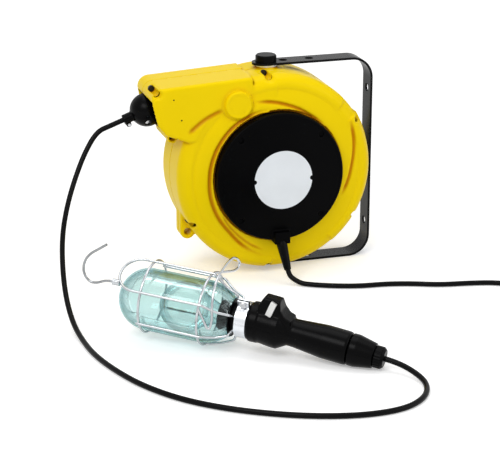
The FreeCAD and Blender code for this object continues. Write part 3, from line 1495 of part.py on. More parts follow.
def make_handle():
    socket_bore = S.socket_radius + S.fit_gap
    seat = S.glass_end + S.seat_gap
    band_end = S.band_start + S.band_width
    turned("lamp_holder", [
        (socket_bore, S.holder_cup_start), (S.holder_cup_radius, S.holder_cup_start),
        (S.holder_cup_radius, seat), (S.glass_neck_radius - 0.8, seat),
        (S.glass_neck_radius - 0.8, seat + 1.2),
        (S.band_core_radius, seat + 1.2), (S.band_core_radius, band_end - 1.5),
        (S.band_radius - S.band_thick, band_end - 1.5), (S.band_radius - S.band_thick, band_end + 1),
        (socket_bore, band_end + 1)], LAMP)
    collar_start = band_end + 1 + S.fit_gap
    collar_end = collar_start + S.collar_length
    collar = turned(None, [
        (0, collar_start), (S.collar_radius - 1.5, collar_start), (S.collar_radius, collar_start + 1.5),
        (S.collar_radius, collar_end - 2), (S.collar_radius - 2, collar_end), (0, collar_end)])
    collar.Placement = GRIP.inverse().multiply(LAMP)
    hump_end = S.switch_start + S.switch_length
    spine = turned(None, [
        (0, S.switch_start - 2), (S.hump_radius - 1.6, S.switch_start - 2), (S.hump_radius, hump_end - 6),
        (S.hump_radius, hump_end), (S.neck_radius, S.neck_start), (S.neck_radius, S.neck_start + 7),
        (S.grip_radius, S.grip_end - 30), (S.grip_radius, S.grip_end - 3), (S.grip_radius - 1, S.grip_end),
        (0, S.grip_end)])
    block = make_switch_block()
    well = solid(rocker_well())
    keep("lamp_handle", cut(fuse(spine, collar, block), well), GRIP)
    turned("handle_boot", [
        (0, S.grip_end + S.fit_gap), (S.boot_radius - 2.5, S.grip_end + S.fit_gap),
        (S.boot_radius - 2.5, S.boot_start), (S.boot_radius, S.boot_start),
        (S.boot_radius, S.boot_start + S.boot_wide),
        (S.boot_tip_radius, S.boot_end), (0, S.boot_end)], GRIP)
    nut = turned(None, [
        (0, S.boot_end + S.fit_gap), (S.nut_radius - 1, S.boot_end + S.fit_gap),
        (S.nut_radius, S.boot_end + 1.5), (S.nut_radius, S.nut_end - 3), (S.nut_radius - 2.6, S.nut_end),
        (0, S.nut_end)])
    grooves = []
    for step in range(round(float(S.nut_ribs))):
        x, y = polar(S.nut_radius + 0.4, step * 360 / float(S.nut_ribs))
        grooves.append(cylinder(1.0, S.nut_end - S.boot_end + 2, x, y, S.boot_end - 1))
    keep("gland_nut", cut(nut, *grooves), GRIP)
    if float(cable_radius) > float(S.nut_radius) - 3:
        raise ValueError("the gland nut is too small for the cable")
    make_band()
    make_rocker()


def make_switch_block():
    """The switch housing: a humped block on the handle, its roof falling away to the far side."""
    start = float(S.switch_start)
    back = start + float(S.switch_length)
    half = float(S.switch_width) / 2
    top = float(S.switch_top)
    profile = Part.makePolygon([
        vec(0, 0, start), vec(0, top - 11, start), vec(0, top, start + 5), vec(0, top, back - 2),
        vec(0, top - 12.5, back + 0.8), vec(0, top - 18.5, back + 6), vec(0, top - 20.8, back + 13),
        vec(0, 0, back + 18), vec(0, 0, start)])
    shape = Part.Face(Part.Wire(profile)).extrude(vec(2 * half, 0, 0))
    shape.translate(vec(-half, 0, 0))
    section = Part.makePolygon([
        vec(-half, 0, start - 1), vec(-half, top - 2.6, start - 1), vec(2.6 - half, top, start - 1),
        vec(1, top, start - 1), vec(half - 4, top - 15, start - 1), vec(half - 4, 0, start - 1),
        vec(-half, 0, start - 1)])
    return solid(shape.common(Part.Face(Part.Wire(section)).extrude(vec(0, 0, 60))))


# The rocker's place in the block's near face, and its lean along the handle.
ROCKER_UP = 26.3
ROCKER_ALONG = 120.8
ROCKER_LEAN = 16.0


def rocker_place():
    """The rocker sits in the block's near face; local Z points out of the face, local X along its length."""
    lean = math.radians(ROCKER_LEAN)
    length_axis = vec(0, math.cos(lean), math.sin(lean))
    outward = vec(-1, 0, 0)
    width_axis = outward.cross(length_axis)
    face = -float(S.switch_width) / 2 + 1.0
    rotation = FreeCAD.Rotation(length_axis, width_axis, outward, "ZXY")
    return FreeCAD.Placement(vec(face, ROCKER_UP, ROCKER_ALONG), rotation)


def rocker_well():
    length = float(S.rocker_length) + 1.2
    width = float(S.rocker_width) + 0.8
    shape = Part.makeBox(length, width, 20, vec(-length / 2, -width / 2, -6.5))
    shape.Placement = rocker_place()
    return shape


def make_rocker():
    length = S.rocker_length
    width = S.rocker_width
    thick = S.rocker_thick
    top = 2.2
    plate = box(length, width, thick, -length / 2, -width / 2, top - thick)
    barrel = cylinder(1.8, width, 0, width / 2, top - thick, turn(X_AXIS, 90))
    pivot = vec(0, 0, top - thick)
    tilt = FreeCAD.Placement(vec(0, 0, 0), turn(Y_AXIS, -float(S.rocker_throw) / 2), pivot)
    keep("switch_rocker", fuse(plate, barrel), GRIP.multiply(rocker_place()).multiply(tilt))


def make_band():
    """The cage's clamp band with its two ears, and the screw through them."""
    start = S.band_start
    inner = S.band_radius - S.band_thick + S.fit_gap
    ring = cut(cylinder(S.band_radius, S.band_width, 0, 0, start),
               cylinder(inner, S.band_width + 2, 0, 0, start - 1))
    slot = box(2.4, 20, S.band_width + 2, -1.2, 10, start - 1)
    ears = [box(S.band_thick, 9, S.band_width, x, S.band_radius - 1, start)
            for x in (-1.2 - float(S.band_thick), 1.2)]
    ear_y = S.band_radius + 4
    hole = cylinder(1.6, 20, -10, ear_y, start + S.band_width / 2, turn(Y_AXIS, 90))
    clamp = cut(fuse(cut(ring, slot), *ears), hole)
    clock = LAMP.multiply(at(0, 0, 0, turn(Z_AXIS, S.band_clock)))
    keep("clamp_band", clamp, clock)
    shank = cylinder(1.5, 12, -5.5, ear_y, start + S.band_width / 2, turn(Y_AXIS, 90))
    head = cylinder(3.9, 2.4, -2.45 - 2.4, ear_y, start + S.band_width / 2, turn(Y_AXIS, 90))
    keep("clamp_screw", fuse(shank, head), clock)


# ----------------------------------------------------------------- build
make_bracket()
make_pivots()
make_shells()
make_shell_screws()
make_cover()
make_relief()
make_drum()
make_spring()
make_contacts()
make_ratchet()
roller_reach, roller_offset = make_mouth()
make_ball_stop()
make_inner_lead(roller_reach, roller_offset)
make_cords()
make_cage()
make_glass()
make_handle()
doc.recompute()

for thing in doc.Objects:
    if "Invalid" in thing.State or "Error" in thing.State:
        raise RuntimeError(f"{thing.Label} did not build: {thing.State}")
for label, thing in parts.items():
    if thing.Shape.isNull() or not thing.Shape.isValid() or not thing.Shape.Solids:
        raise RuntimeError(f"{label} has no valid solid")

os.makedirs("parts", exist_ok=True)
for label, thing in parts.items():
    thing.Shape.exportStep(f"parts/{label}.step")
print(len(parts), "sub-parts written")
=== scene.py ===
import json
import math

import bpy
import numpy as np
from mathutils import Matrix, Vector


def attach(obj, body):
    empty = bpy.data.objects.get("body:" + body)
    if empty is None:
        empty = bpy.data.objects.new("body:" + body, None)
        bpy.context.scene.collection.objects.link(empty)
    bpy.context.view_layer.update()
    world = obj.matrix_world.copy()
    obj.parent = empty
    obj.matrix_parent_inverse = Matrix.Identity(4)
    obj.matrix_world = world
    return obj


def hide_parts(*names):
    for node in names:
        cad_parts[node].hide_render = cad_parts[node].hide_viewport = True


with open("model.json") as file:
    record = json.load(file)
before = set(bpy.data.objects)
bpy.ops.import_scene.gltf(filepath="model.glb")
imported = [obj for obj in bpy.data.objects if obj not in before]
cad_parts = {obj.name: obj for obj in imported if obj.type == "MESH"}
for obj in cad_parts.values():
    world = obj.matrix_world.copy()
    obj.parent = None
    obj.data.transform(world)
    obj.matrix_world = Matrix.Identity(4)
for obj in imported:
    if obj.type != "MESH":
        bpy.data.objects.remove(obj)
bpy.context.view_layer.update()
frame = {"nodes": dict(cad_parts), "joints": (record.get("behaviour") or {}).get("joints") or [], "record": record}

NODES = frame["nodes"]
scene = bpy.context.scene


# ---------------------------------------------------------------- materials
class Nodes:
    """A node tree being built for a material or a world, with short ways to add and join nodes."""

    def __init__(self, owner, output="OutputMaterial"):
        owner.use_nodes = True
        self.owner = owner
        self.tree = owner.node_tree
        self.tree.nodes.clear()
        self.output = self.add(output)

    def add(self, kind, **values):
        made = self.tree.nodes.new("ShaderNode" + kind)
        for key, value in values.items():
            if hasattr(made, key) and key not in made.inputs:
                setattr(made, key, value)
            else:
                made.inputs[key.replace("_", " ")].default_value = value
        return made

    def join(self, source, target, socket, output=0):
        self.tree.links.new(source.outputs[output], target.inputs[socket])

    def noise(self, scale, detail=2.0, stretch=(1, 1, 1)):
        place = self.add("TexCoord")
        mapping = self.add("Mapping")
        mapping.inputs["Scale"].default_value = stretch
        self.join(place, mapping, "Vector", "Object")
        noise = self.add("TexNoise", Scale=scale, Detail=detail)
        self.join(mapping, noise, "Vector")
        return noise

    def ramp(self, source, low, high, low_colour, high_colour, output=0):
        ramp = self.add("ValToRGB")
        ramp.color_ramp.elements[0].position = low
        ramp.color_ramp.elements[1].position = high
        ramp.color_ramp.elements[0].color = (*low_colour, 1)
        ramp.color_ramp.elements[1].color = (*high_colour, 1)
        self.join(source, ramp, "Fac", output)
        return ramp

    def spread(self, source, low, high, output=0):
        made = self.add("MapRange")
        made.inputs["To Min"].default_value = low
        made.inputs["To Max"].default_value = high
        self.join(source, made, "Value", output)
        return made

    def blend(self, share, low, high):
        """Mix two shaders; share 0 gives low."""
        mix = self.add("MixShader")
        self.join(share, mix, 0)
        self.join(low, mix, 1)
        self.join(high, mix, 2)
        return mix

    def seen(self):
        """1 for what the camera sees, straight on, mirrored or through glass, and 0 for light."""
        rays = self.add("LightPath")
        mirrored = self.add("Math", operation="MAXIMUM")
        self.join(rays, mirrored, 0, "Is Camera Ray")
        self.join(rays, mirrored, 1, "Is Glossy Ray")
        through = self.add("Math", operation="MAXIMUM")
        self.join(mirrored, through, 0)
        self.join(rays, through, 1, "Is Transmission Ray")
        return through


# Painted shade in creases: how open a spot is to the sky where it takes all the painted crease shade, and where it
# takes none.
PAINTED_SHADE_FULL_AO = 0.45
PAINTED_SHADE_NONE_AO = 0.95


def surface(name, colour, rough, vary=0.08, rough_vary=0.06, grain=900, bump=0.1, depth=0.0001,
            metal=0.0, patch=30, stretch=(1, 1, 1), specular=0.5, crease_shade=None, crease_shade_reach=0.004):
    """A solid finish: colour mottled a little in patches, fine grain in its bump, and painted shade that darkens
    creases and marked grooves.
    """
    mat = Nodes(bpy.data.materials.new(name))
    shader = mat.add("BsdfPrincipled", Metallic=metal)
    shader.inputs["Specular IOR Level"].default_value = specular
    blotch = mat.noise(patch, 3.0, stretch)
    dark = tuple(c * (1 - vary) for c in colour)
    light = tuple(min(1.0, c * (1 + vary)) for c in colour)
    tint = mat.ramp(blotch, 0.3, 0.7, dark, light)
    # Painted shade: where ambient occlusion finds a crease, the colour is mixed towards the crease colour.
    if crease_shade:
        shade = mat.add("AmbientOcclusion", samples=8, Distance=crease_shade_reach)
        unshaded_share = mat.spread(shade, 0.0, 1.0, "AO")
        unshaded_share.inputs["From Min"].default_value = PAINTED_SHADE_FULL_AO
        unshaded_share.inputs["From Max"].default_value = PAINTED_SHADE_NONE_AO
        crease_shaded_tint = mat.add("MixRGB")
        crease_shaded_tint.inputs["Color1"].default_value = (*crease_shade, 1)
        mat.join(unshaded_share, crease_shaded_tint, "Fac")
        mat.join(tint, crease_shaded_tint, "Color2")
        # Painted shade along the carved grooves, taken from the mark that carve lays on the mesh.
        line = mat.add("Attribute", attribute_name="groove_shade")
        tint = mat.add("MixRGB")
        tint.inputs["Color2"].default_value = (*crease_shade, 1)
        mat.join(line, tint, "Fac", "Fac")
        mat.join(crease_shaded_tint, tint, "Color1")
    mat.join(tint, shader, "Base Color")
    fine = mat.noise(grain, 2.0, stretch)
    mat.join(mat.spread(fine, rough - rough_vary, rough + rough_vary), shader, "Roughness")
    knock = mat.add("Bump", Strength=bump, Distance=depth)
    mat.join(fine, knock, "Height")
    mat.join(knock, shader, "Normal")
    mat.join(shader, mat.output, "Surface")
    return mat.owner


def clear(name, facing_tint, edge_tint, gloss=0.6, ripple=0.15):
    """Thin tinted glass: clear face on, darker where it is seen edge on, with white gloss."""
    mat = Nodes(bpy.data.materials.new(name))
    edge = mat.add("LayerWeight", Blend=0.3)
    tint = mat.ramp(edge, 0.25, 0.97, facing_tint, edge_tint, "Facing")
    see = mat.add("BsdfTransparent")
    mat.join(tint, see, "Color")
    shine = mat.add("BsdfGlossy", Roughness=0.03)
    shine.inputs["Color"].default_value = (0.95, 1.0, 1.0, 1)
    wave = mat.noise(24, 2.0)
    knock = mat.add("Bump", Strength=ripple, Distance=0.002)
    mat.join(wave, knock, "Height")
    mat.join(knock, shine, "Normal")
    fresnel = mat.add("Fresnel", IOR=1.45)
    mat.join(knock, fresnel, "Normal")
    share = mat.spread(fresnel, 0.0, gloss)
    mat.join(mat.blend(share, see, shine), mat.output, "Surface")
    return mat.owner


# The yellow's crease colour, (0.56, 0.21, 0.0005), is painted shade: an orange-brown laid into creases and along
# the carved grooves.
YELLOW = surface("yellow_abs", (0.88, 0.635, 0.0005), rough=0.36, vary=0.02, rough_vary=0.03, grain=1500,
                 bump=0.08, depth=0.00012, patch=9, specular=0.06, crease_shade=(0.56, 0.21, 0.0005),
                 crease_shade_reach=0.0055)
BLACK = surface("black_moulding", (0.0015, 0.0015, 0.0018), rough=0.30, vary=0.2, grain=1800,
                bump=0.2, depth=0.00015, specular=0.05)
COVER = surface("black_cover", (0.0008, 0.0008, 0.001), rough=0.42, vary=0.2, rough_vary=0.07, grain=1400,
                bump=0.25, depth=0.00015, specular=0.03)
RUBBER = surface("black_rubber", (0.001, 0.001, 0.0012), rough=0.26, vary=0.25, grain=1200,
                 bump=0.2, depth=0.00015, specular=0.06)
JACKET = surface("cord_jacket", (0.0015, 0.0015, 0.0018), rough=0.30, vary=0.25, rough_vary=0.08,
                 bump=0.25, depth=0.0002, specular=0.08)
PAINT = surface("black_paint", (0.002, 0.0022, 0.0026), rough=0.28, vary=0.2, rough_vary=0.05, grain=700,
                bump=0.15, depth=0.0002, specular=0.08)
GREY = surface("grey_plastic", (0.18, 0.18, 0.19), rough=0.4)
WHITE = surface("white_plastic", (0.82, 0.82, 0.80), rough=0.35, vary=0.02, rough_vary=0.04, grain=1500,
                bump=0.05)
LABEL = surface("label_film", (0.78, 0.815, 0.85), rough=0.34, vary=0.03, rough_vary=0.05, grain=300,
                bump=0.04, specular=0.3)
STEEL = surface("steel", (0.60, 0.60, 0.61), rough=0.30, vary=0.12, rough_vary=0.08, grain=800,
                bump=0.2, metal=1.0, patch=60)
SCREW = surface("black_screw", (0.02, 0.02, 0.022), rough=0.35, vary=0.2, rough_vary=0.08, grain=800,
                bump=0.2, metal=0.6, patch=60)
ZINC = surface("bright_zinc", (0.50, 0.52, 0.54), rough=0.17, vary=0.10, rough_vary=0.08, grain=500,
               bump=0.15, metal=1.0, patch=90)
HOOK_WIRE = surface("hook_wire", (0.30, 0.31, 0.32), rough=0.22, vary=0.15, rough_vary=0.08, grain=500,
                    bump=0.15, metal=1.0, patch=90)
BAND = surface("brushed_band", (0.74, 0.76, 0.79), rough=0.24, rough_vary=0.10, grain=260,
               bump=0.3, metal=1.0, stretch=(1, 1, 14))
SPRING = surface("spring_steel", (0.25, 0.26, 0.29), rough=0.3, metal=1.0)
BRASS = surface("brass", (0.72, 0.52, 0.22), rough=0.28, metal=1.0)
CARBON = surface("carbon", (0.03, 0.03, 0.03), rough=0.6)
GLASS = clear("clear_glass", facing_tint=(0.84, 0.925, 0.925), edge_tint=(0.26, 0.54, 0.58))
BULB = clear("bulb_glass", facing_tint=(0.93, 0.97, 0.97), edge_tint=(0.22, 0.50, 0.56), gloss=0.7,
             ripple=0.05)

FINISH = {
    "yellow_plastic": YELLOW, "black_plastic": BLACK, "grey_plastic": GREY, "white_plastic": WHITE,
    "black_steel": PAINT, "steel": STEEL, "zinc_wire": ZINC, "spring_steel": SPRING, "brass": BRASS,
    "carbon": CARBON, "black_rubber": RUBBER, "cable_jacket": JACKET, "clear_glass": GLASS,
    "bulb_glass": BULB,
}
for part in frame["record"]["subparts"]:
    thing = NODES[part["node"]]
    thing.data.materials.clear()
    thing.data.materials.append(FINISH[part["material_slot"]])
NODES["contact_cover"].data.materials[0] = COVER
NODES["rating_label"].data.materials[0] = LABEL
NODES["clamp_band"].data.materials[0] = BAND
NODES["hook"].data.materials[0] = HOOK_WIRE
NODES["cover_screws"].data.materials[0] = COVER
NODES["casing_screws"].data.materials[0] = SCREW


# ---------------------------------------------------------------- helpers
def new_object(name, data, material, body="casing"):
    thing = bpy.data.objects.new(name, data)
    scene.collection.objects.link(thing)
    if material:
        data.materials.append(material)
    if body:
        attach(thing, body)
    return thing


def spline(name, points, smooth):
    """A bare curve along a NURBS spline with these control points."""
    curve = bpy.data.curves.new(name, "CURVE")
    curve.dimensions = "3D"
    curve.resolution_u = smooth
    line = curve.splines.new("NURBS")
    line.points.add(len(points) - 1)
    for index, point in enumerate(points):
        line.points[index].co = (*point, 1)
    line.order_u = 3
    line.use_endpoint_u = True
    return curve


def nurbs(name, points, diameter, material):
    """A smooth round cord or wire along a NURBS spline with these control points."""
    curve = spline(name, points, 16)
    curve.bevel_depth = diameter / 2
    curve.bevel_resolution = 5
    curve.use_fill_caps = True
    return new_object(name, curve, material)


def button(name, place, radius, height, material):
    """A small round domed end facing the front, its foot sunk in the surface that it sits on."""
    foot = 0.0008
    rings = [(radius, foot), (radius, -0.4 * height), (0.8 * radius, -0.85 * height), (0.4 * radius, -height)]
    turns = 20
    points = [(place[0] + reach * math.cos(math.tau * turn / turns), place[1] + depth,
               place[2] + reach * math.sin(math.tau * turn / turns))
              for reach, depth in rings for turn in range(turns)]
    faces = [(ring * turns + turn, ring * turns + (turn + 1) % turns,
              (ring + 1) * turns + (turn + 1) % turns, (ring + 1) * turns + turn)
             for ring in range(len(rings) - 1) for turn in range(turns)]
    faces += [tuple(range((len(rings) - 1) * turns, len(rings) * turns)), tuple(reversed(range(turns)))]
    mesh = bpy.data.meshes.new(name)
    mesh.from_pydata(points, [], faces)
    mesh.shade_smooth()
    piece = new_object(name, mesh, material)


def moulded(name, node, material, slot, grid, rounds):
    """A node's shape with its edges softened, as a moulding has them, in a piece that replaces it."""
    source = NODES[node]
    work = bpy.data.objects.new(name + "_work", source.data.copy())
    scene.collection.objects.link(work)
    remesh = work.modifiers.new("grid", "REMESH")
    remesh.mode = "VOXEL"
    remesh.voxel_size = grid
    smooth = work.modifiers.new("soften", "SMOOTH")
    smooth.factor = 0.5
    smooth.iterations = rounds
    bpy.context.view_layer.update()
    shape = bpy.data.meshes.new_from_object(work.evaluated_get(bpy.context.evaluated_depsgraph_get()))
    bpy.data.objects.remove(work)
    shape.materials.clear()
    shape.shade_smooth()
    piece = new_object(name, shape, material)
    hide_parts(node)
    return piece


def points_of(piece):
    """A piece's points and normals as arrays, in metres."""
    count = len(piece.data.vertices)
    points, normals = np.empty(count * 3), np.empty(count * 3)
    piece.data.vertices.foreach_get("co", points)
    piece.data.vertex_normals.foreach_get("vector", normals)
    return points.reshape(-1, 3), normals.reshape(-1, 3)


def move_points(piece, points):
    piece.data.vertices.foreach_set("co", points.reshape(-1))
    piece.data.update()


def fill_pit(piece, x, z, reach):
    """Bring the hole at x, z up to a plane laid through the surface round it."""
    points, normals = points_of(piece)
    away = np.hypot(points[:, 0] - x, points[:, 2] - z)
    rim = (away > reach) & (away < 1.6 * reach) & (normals[:, 1] < -0.25) & (points[:, 1] < -0.02)
    sides = np.column_stack([np.ones(rim.sum()), points[rim, 0] - x, points[rim, 2] - z])
    level, slope_x, slope_z = np.linalg.lstsq(sides, points[rim, 1], rcond=None)[0]
    hole = (away < reach) & (points[:, 1] < -0.02)
    points[hole, 1] = level + slope_x * (points[hole, 0] - x) + slope_z * (points[hole, 2] - z)
    move_points(piece, points)


def relax(piece, spots, rounds, from_front=-0.02):
    """Melt the surface within each spot (x, z, reach) seen from the front, as a soft dimple."""
    points, _ = points_of(piece)
    group = piece.vertex_groups.new(name="relax")
    for x, z, reach in spots:
        away = np.hypot(points[:, 0] - x, points[:, 2] - z) / reach
        for index in np.nonzero((away < 1) & (points[:, 1] < from_front))[0]:
            group.add([int(index)], float(min(1.0, 3 * (1 - away[index]))), "REPLACE")
    soften = piece.modifiers.new("relax", "SMOOTH")
    soften.factor = 0.5
    soften.iterations = rounds
    soften.vertex_group = group.name
    shape = bpy.data.meshes.new_from_object(piece.evaluated_get(bpy.context.evaluated_depsgraph_get()))
    piece.modifiers.remove(soften)
    piece.vertex_groups.remove(group)
    piece.data = shape
    shape.shade_smooth()


def line_points(points):
    """Points along the smooth line that a NURBS spline draws through a stroke's control points."""
    holder = bpy.data.objects.new("stroke", spline("stroke", [(x, 0, z) for x, z in points], 8))
    mesh = bpy.data.meshes.new_from_object(holder)
    line = np.array([vertex.co[:] for vertex in mesh.vertices])[:, (0, 2)]
    bpy.data.objects.remove(holder)
    bpy.data.meshes.remove(mesh)
    return line


def swept(*stations):
    """A line round the axle through stations, each a turn in degrees and a radius in metres."""
    turns, radii = np.array(stations).T
    angles = np.linspace(turns[0], turns[-1], round((turns[-1] - turns[0]) / SWEPT_STEP) + 1)
    reach = np.interp(angles, turns, radii)
    return [(radius * math.cos(math.radians(angle)), AXLE_Z + radius * math.sin(math.radians(angle)))
            for angle, radius in zip(angles, reach)]


def carve(piece, strokes):
    """Press soft grooves into the front along lines in x, z, and mark them for the painted shade that the finish
    lays in them.
    """
    points, normals = points_of(piece)
    front = np.nonzero((normals[:, 1] < FACING_FRONT) & (points[:, 1] < CARVED_FROM))[0]
    spot = points[front][:, (0, 2)]
    groove_shade = np.zeros(len(points))
    for stroke, depth, half_width in strokes:
        line = line_points(stroke)
        first, step = line[:-1], np.diff(line, axis=0)
        along = np.einsum("nmk,mk->nm", spot[:, None] - first, step) / (step ** 2).sum(1)
        along = along.clip(0, 1)
        away = np.linalg.norm(spot[:, None] - (first + along[..., None] * step), axis=2)
        nearest = away.argmin(1)
        rows = np.arange(len(spot))
        share = (nearest + along[rows, nearest]) / len(step)
        taper = np.minimum(1, np.minimum(share, 1 - share) / STROKE_TAPER)
        share = taper * np.exp(-(away[rows, nearest] / half_width) ** 2)
        points[front, 1] += depth * share
        # The mark along each groove: how much painted shade the finish lays there.
        groove_shade[front] = np.maximum(groove_shade[front], share * min(1.0, depth / FULL_SHADE_DEPTH))
    move_points(piece, points)
    piece.data.attributes.new("groove_shade", "FLOAT", "POINT").data.foreach_set("value", groove_shade)


def dish_depth(radius):
    """How far in front of the drum's middle the casing's round face lies, in metres."""
    rise = np.sqrt(np.maximum(0, SHOULDER_BEND ** 2 - (radius - SHOULDER_RADIUS) ** 2))
    face = FACE_DEPTH - FACE_FALL * (radius - COVER_SEAT)
    return np.where(radius < FACE_RADIUS, face, SHOULDER_DEPTH + rise)


def even_face(piece, lift):
    """Lay the round face at one even height, for the fine lines to be carved in it."""
    points, normals = points_of(piece)
    x, y, z = points.T
    radius = np.hypot(x, z - AXLE_Z)
    face = dish_depth(radius)
    flat = (normals[:, 1] < FACING_FRONT) & (radius > EVEN_FROM) & (radius < EVEN_TO)
    flat &= (-y > face - 0.001) & (-y < face + 0.0042)
    flat &= np.hypot(x - BOSS_AT[0], z - BOSS_AT[1]) > BOSS_RADIUS
    under_snout = SNOUT_FOOT[1] + (x - SNOUT_FOOT[0]) * SNOUT_RISE
    flat &= ~((x < -0.03) & (z > under_snout))
    share = ((EVEN_TO - radius[flat]) / (EVEN_TO - FACE_RADIUS)).clip(0, 1)
    share *= np.where(x[flat] < 0, ((0.2480 - z[flat]) / 0.014).clip(0, 1), 1)
    y[flat] += share * (-face[flat] - lift - y[flat])
    move_points(piece, points)


# ---------------------------------------------------------------- mouldings
MOULDINGS = [
    ("casing_front", "front_shell", YELLOW, "yellow_plastic", 0.0011, 5),
    ("casing_rear", "rear_shell", YELLOW, "yellow_plastic", 0.0011, 5),
    ("cover_moulding", "contact_cover", COVER, "black_plastic", 0.0010, 4),
    ("relief_sleeve", "feed_strain_relief", RUBBER, "black_rubber", 0.0006, 8),
    ("handle_moulding", "lamp_handle", RUBBER, "black_rubber", 0.0008, 12),
    ("boot_moulding", "handle_boot", RUBBER, "black_rubber", 0.0006, 8),
    ("nut_moulding", "gland_nut", BLACK, "black_plastic", 0.00045, 3),
    ("plug_moulding", "plug_body", RUBBER, "black_rubber", 0.0008, 6),
    ("stop_front", "ball_stop_front", RUBBER, "black_rubber", 0.0007, 4),
    ("stop_rear", "ball_stop_rear", RUBBER, "black_rubber", 0.0007, 4),
]
PIECES = {moulding[0]: moulded(*moulding) for moulding in MOULDINGS}

JOINT_AT = {joint["name"]: joint["pos_m"] for joint in frame["joints"]}

# The front half's round face, as radii about the axle and depths in front of the drum's middle:
# a slightly coned face from the cover's seat outwards, then a shoulder that bends down to the rim.
AXLE_Z = JOINT_AT["drum_spin"][2]
COVER_SEAT = 0.084
FACE_DEPTH = 0.053
FACE_FALL = 0.24
FACE_RADIUS = 0.109
SHOULDER_RADIUS = 0.11112
SHOULDER_DEPTH = 0.03126
SHOULDER_BEND = 0.01588
# The ring of it that is laid even, without the boss and the snout.
EVEN_FROM = 0.0848
EVEN_TO = 0.118
BOSS_AT = (-0.0516, 0.2282)
BOSS_RADIUS = 0.0195
SNOUT_FOOT = (-0.1156, 0.192)
SNOUT_RISE = 0.66
# What counts as the front: how far a normal points forwards, and how far forwards grooves begin.
FACING_FRONT = -0.3
CARVED_FROM = -0.034

# Its fine relief: soft dimples round two of its screws, the snout's end melting into the round
# face, and the swept lines round the cover and under the snout.
SCREWS_AT = [(-0.0086, 0.2575), (-0.1530, 0.2483)]
RECESS_REACH = 0.0050
DIMPLE_REACH = 0.0095
DIMPLE_ROUNDS = 30
SNOUT_END = [(-0.0300 + 0.001 * step, 0.236 + 0.005 * step, 0.013) for step in range(8)]
SNOUT_ROUNDS = 110
EVEN_LIFT = 0.0015
# The degrees between a swept line's points, the share of a line over which its groove fades at each end, and the
# depth at which a groove takes the full painted shade.
SWEPT_STEP = 8
STROKE_TAPER = 0.1
FULL_SHADE_DEPTH = 0.0026
TOP_LINE = swept((40, 0.0825), (62, 0.085), (84, 0.0905), (108, 0.100))
LEFT_LINE = swept((98, 0.0865), (115, 0.088), (180, 0.089), (205, 0.0915), (228, 0.0945), (261, 0.1095))
INNER_LINE = swept((211, 0.086), (232, 0.0905), (260, 0.101))
RIGHT_LINE = swept((-23, 0.0915), (2, 0.099), (34, 0.116))
SNOUT_LINE = swept((128, 0.1125), (140, 0.122), (152, 0.130))
# Each line with its groove's depth and half its width.
STROKES = [(TOP_LINE, 0.0028, 0.0019), (LEFT_LINE, 0.0030, 0.0021), (INNER_LINE, 0.0017, 0.0016),
           (RIGHT_LINE, 0.0028, 0.0020), (SNOUT_LINE, 0.0024, 0.0026)]


def dress_front(piece):
    """Give the casing's front half its fine relief."""
    for x, z in SCREWS_AT:
        fill_pit(piece, x, z, RECESS_REACH)
    relax(piece, [(x, z, DIMPLE_REACH) for x, z in SCREWS_AT], DIMPLE_ROUNDS)
    relax(piece, SNOUT_END, SNOUT_ROUNDS, from_front=0.1)
    even_face(piece, EVEN_LIFT)
    carve(piece, STROKES)


def pin_end(name, joint):
    """The end of a roller's pin, which shows in the snout's face."""
    snout_face = -0.0499
    place = (JOINT_AT[joint][0], snout_face, JOINT_AT[joint][2])
    button(name, place, 0.0010, 0.0003, BLACK)


dress_front(PIECES["casing_front"])
pin_end("pin_end_upper", "roller_upper_spin")
pin_end("pin_end_lower", "roller_lower_spin")


# ---------------------------------------------------------------- cords
CORD = 0.0065
LYING = CORD / 2
# The outlet cord leaves the ball stop straight, down the mouth's tilt, and comes to the hand
# lamp's gland along the grip, which points away at a heading and drops a little.
BALL_AT = (-0.155, 0.2168)
EXIT_TILT = math.radians(20)
SLEEVE_LENGTH = 0.0317
GRIP_HEADING = math.radians(-36.9)
GRIP_DROP = math.radians(8.66)
GRIP_WAY = (math.cos(GRIP_HEADING) * math.cos(GRIP_DROP), math.sin(GRIP_HEADING) * math.cos(GRIP_DROP),
            -math.sin(GRIP_DROP))


def fine(*values):
    """A point given to a hundredth of a millimetre."""
    return tuple(round(float(value), 5) for value in values)


def from_mouth(along):
    """The point this far out of the ball's middle along the mouth's axis."""
    return fine(BALL_AT[0] - along * math.cos(EXIT_TILT), 0, BALL_AT[1] - along * math.sin(EXIT_TILT))


def far_end(node, way):
    """The middle of a node's end face, on the side that lies farthest along a direction."""
    spots = np.array([node.matrix_world @ vertex.co for vertex in node.data.vertices])
    reach = spots @ np.array(way)
    face = spots[reach > reach.max() - 0.0001]
    return (face.min(axis=0) + face.max(axis=0)) / 2


def from_gland(along):
    """The point this far behind the hand lamp's gland along its grip."""
    return fine(*(GLAND_AT + along * np.array(GRIP_WAY)))


GLAND_AT = far_end(NODES["gland_nut"], GRIP_WAY)
OUTLET = [from_mouth(SLEEVE_LENGTH + straight) for straight in (0, 0.018, 0.036)]
OUTLET += [
    (-0.2360, -0.0070, 0.1700), (-0.2520, -0.0185, 0.1400), (-0.2660, -0.0360, 0.1120),
    (-0.2775, -0.0600, 0.0840), (-0.2845, -0.0920, 0.0540), (-0.2880, -0.1280, 0.0280),
    (-0.2870, -0.1640, 0.0095), (-0.2835, -0.2020, LYING), (-0.2790, -0.2460, LYING),
    (-0.2660, -0.2940, LYING), (-0.2460, -0.3430, LYING), (-0.2140, -0.3900, LYING),
    (-0.1720, -0.4270, LYING), (-0.1250, -0.4550, LYING), (-0.0790, -0.4735, LYING),
    (-0.0340, -0.4825, LYING), (0.0060, -0.4790, LYING), (0.0330, -0.4620, LYING),
    (0.0480, -0.4390, LYING), (0.0520, -0.4140, 0.0046),
]
OUTLET += [from_gland(straight) for straight in (0.019, 0)]
outlet_cord = nurbs("outlet_cord", OUTLET, CORD, JACKET)
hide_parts("outlet_cable")

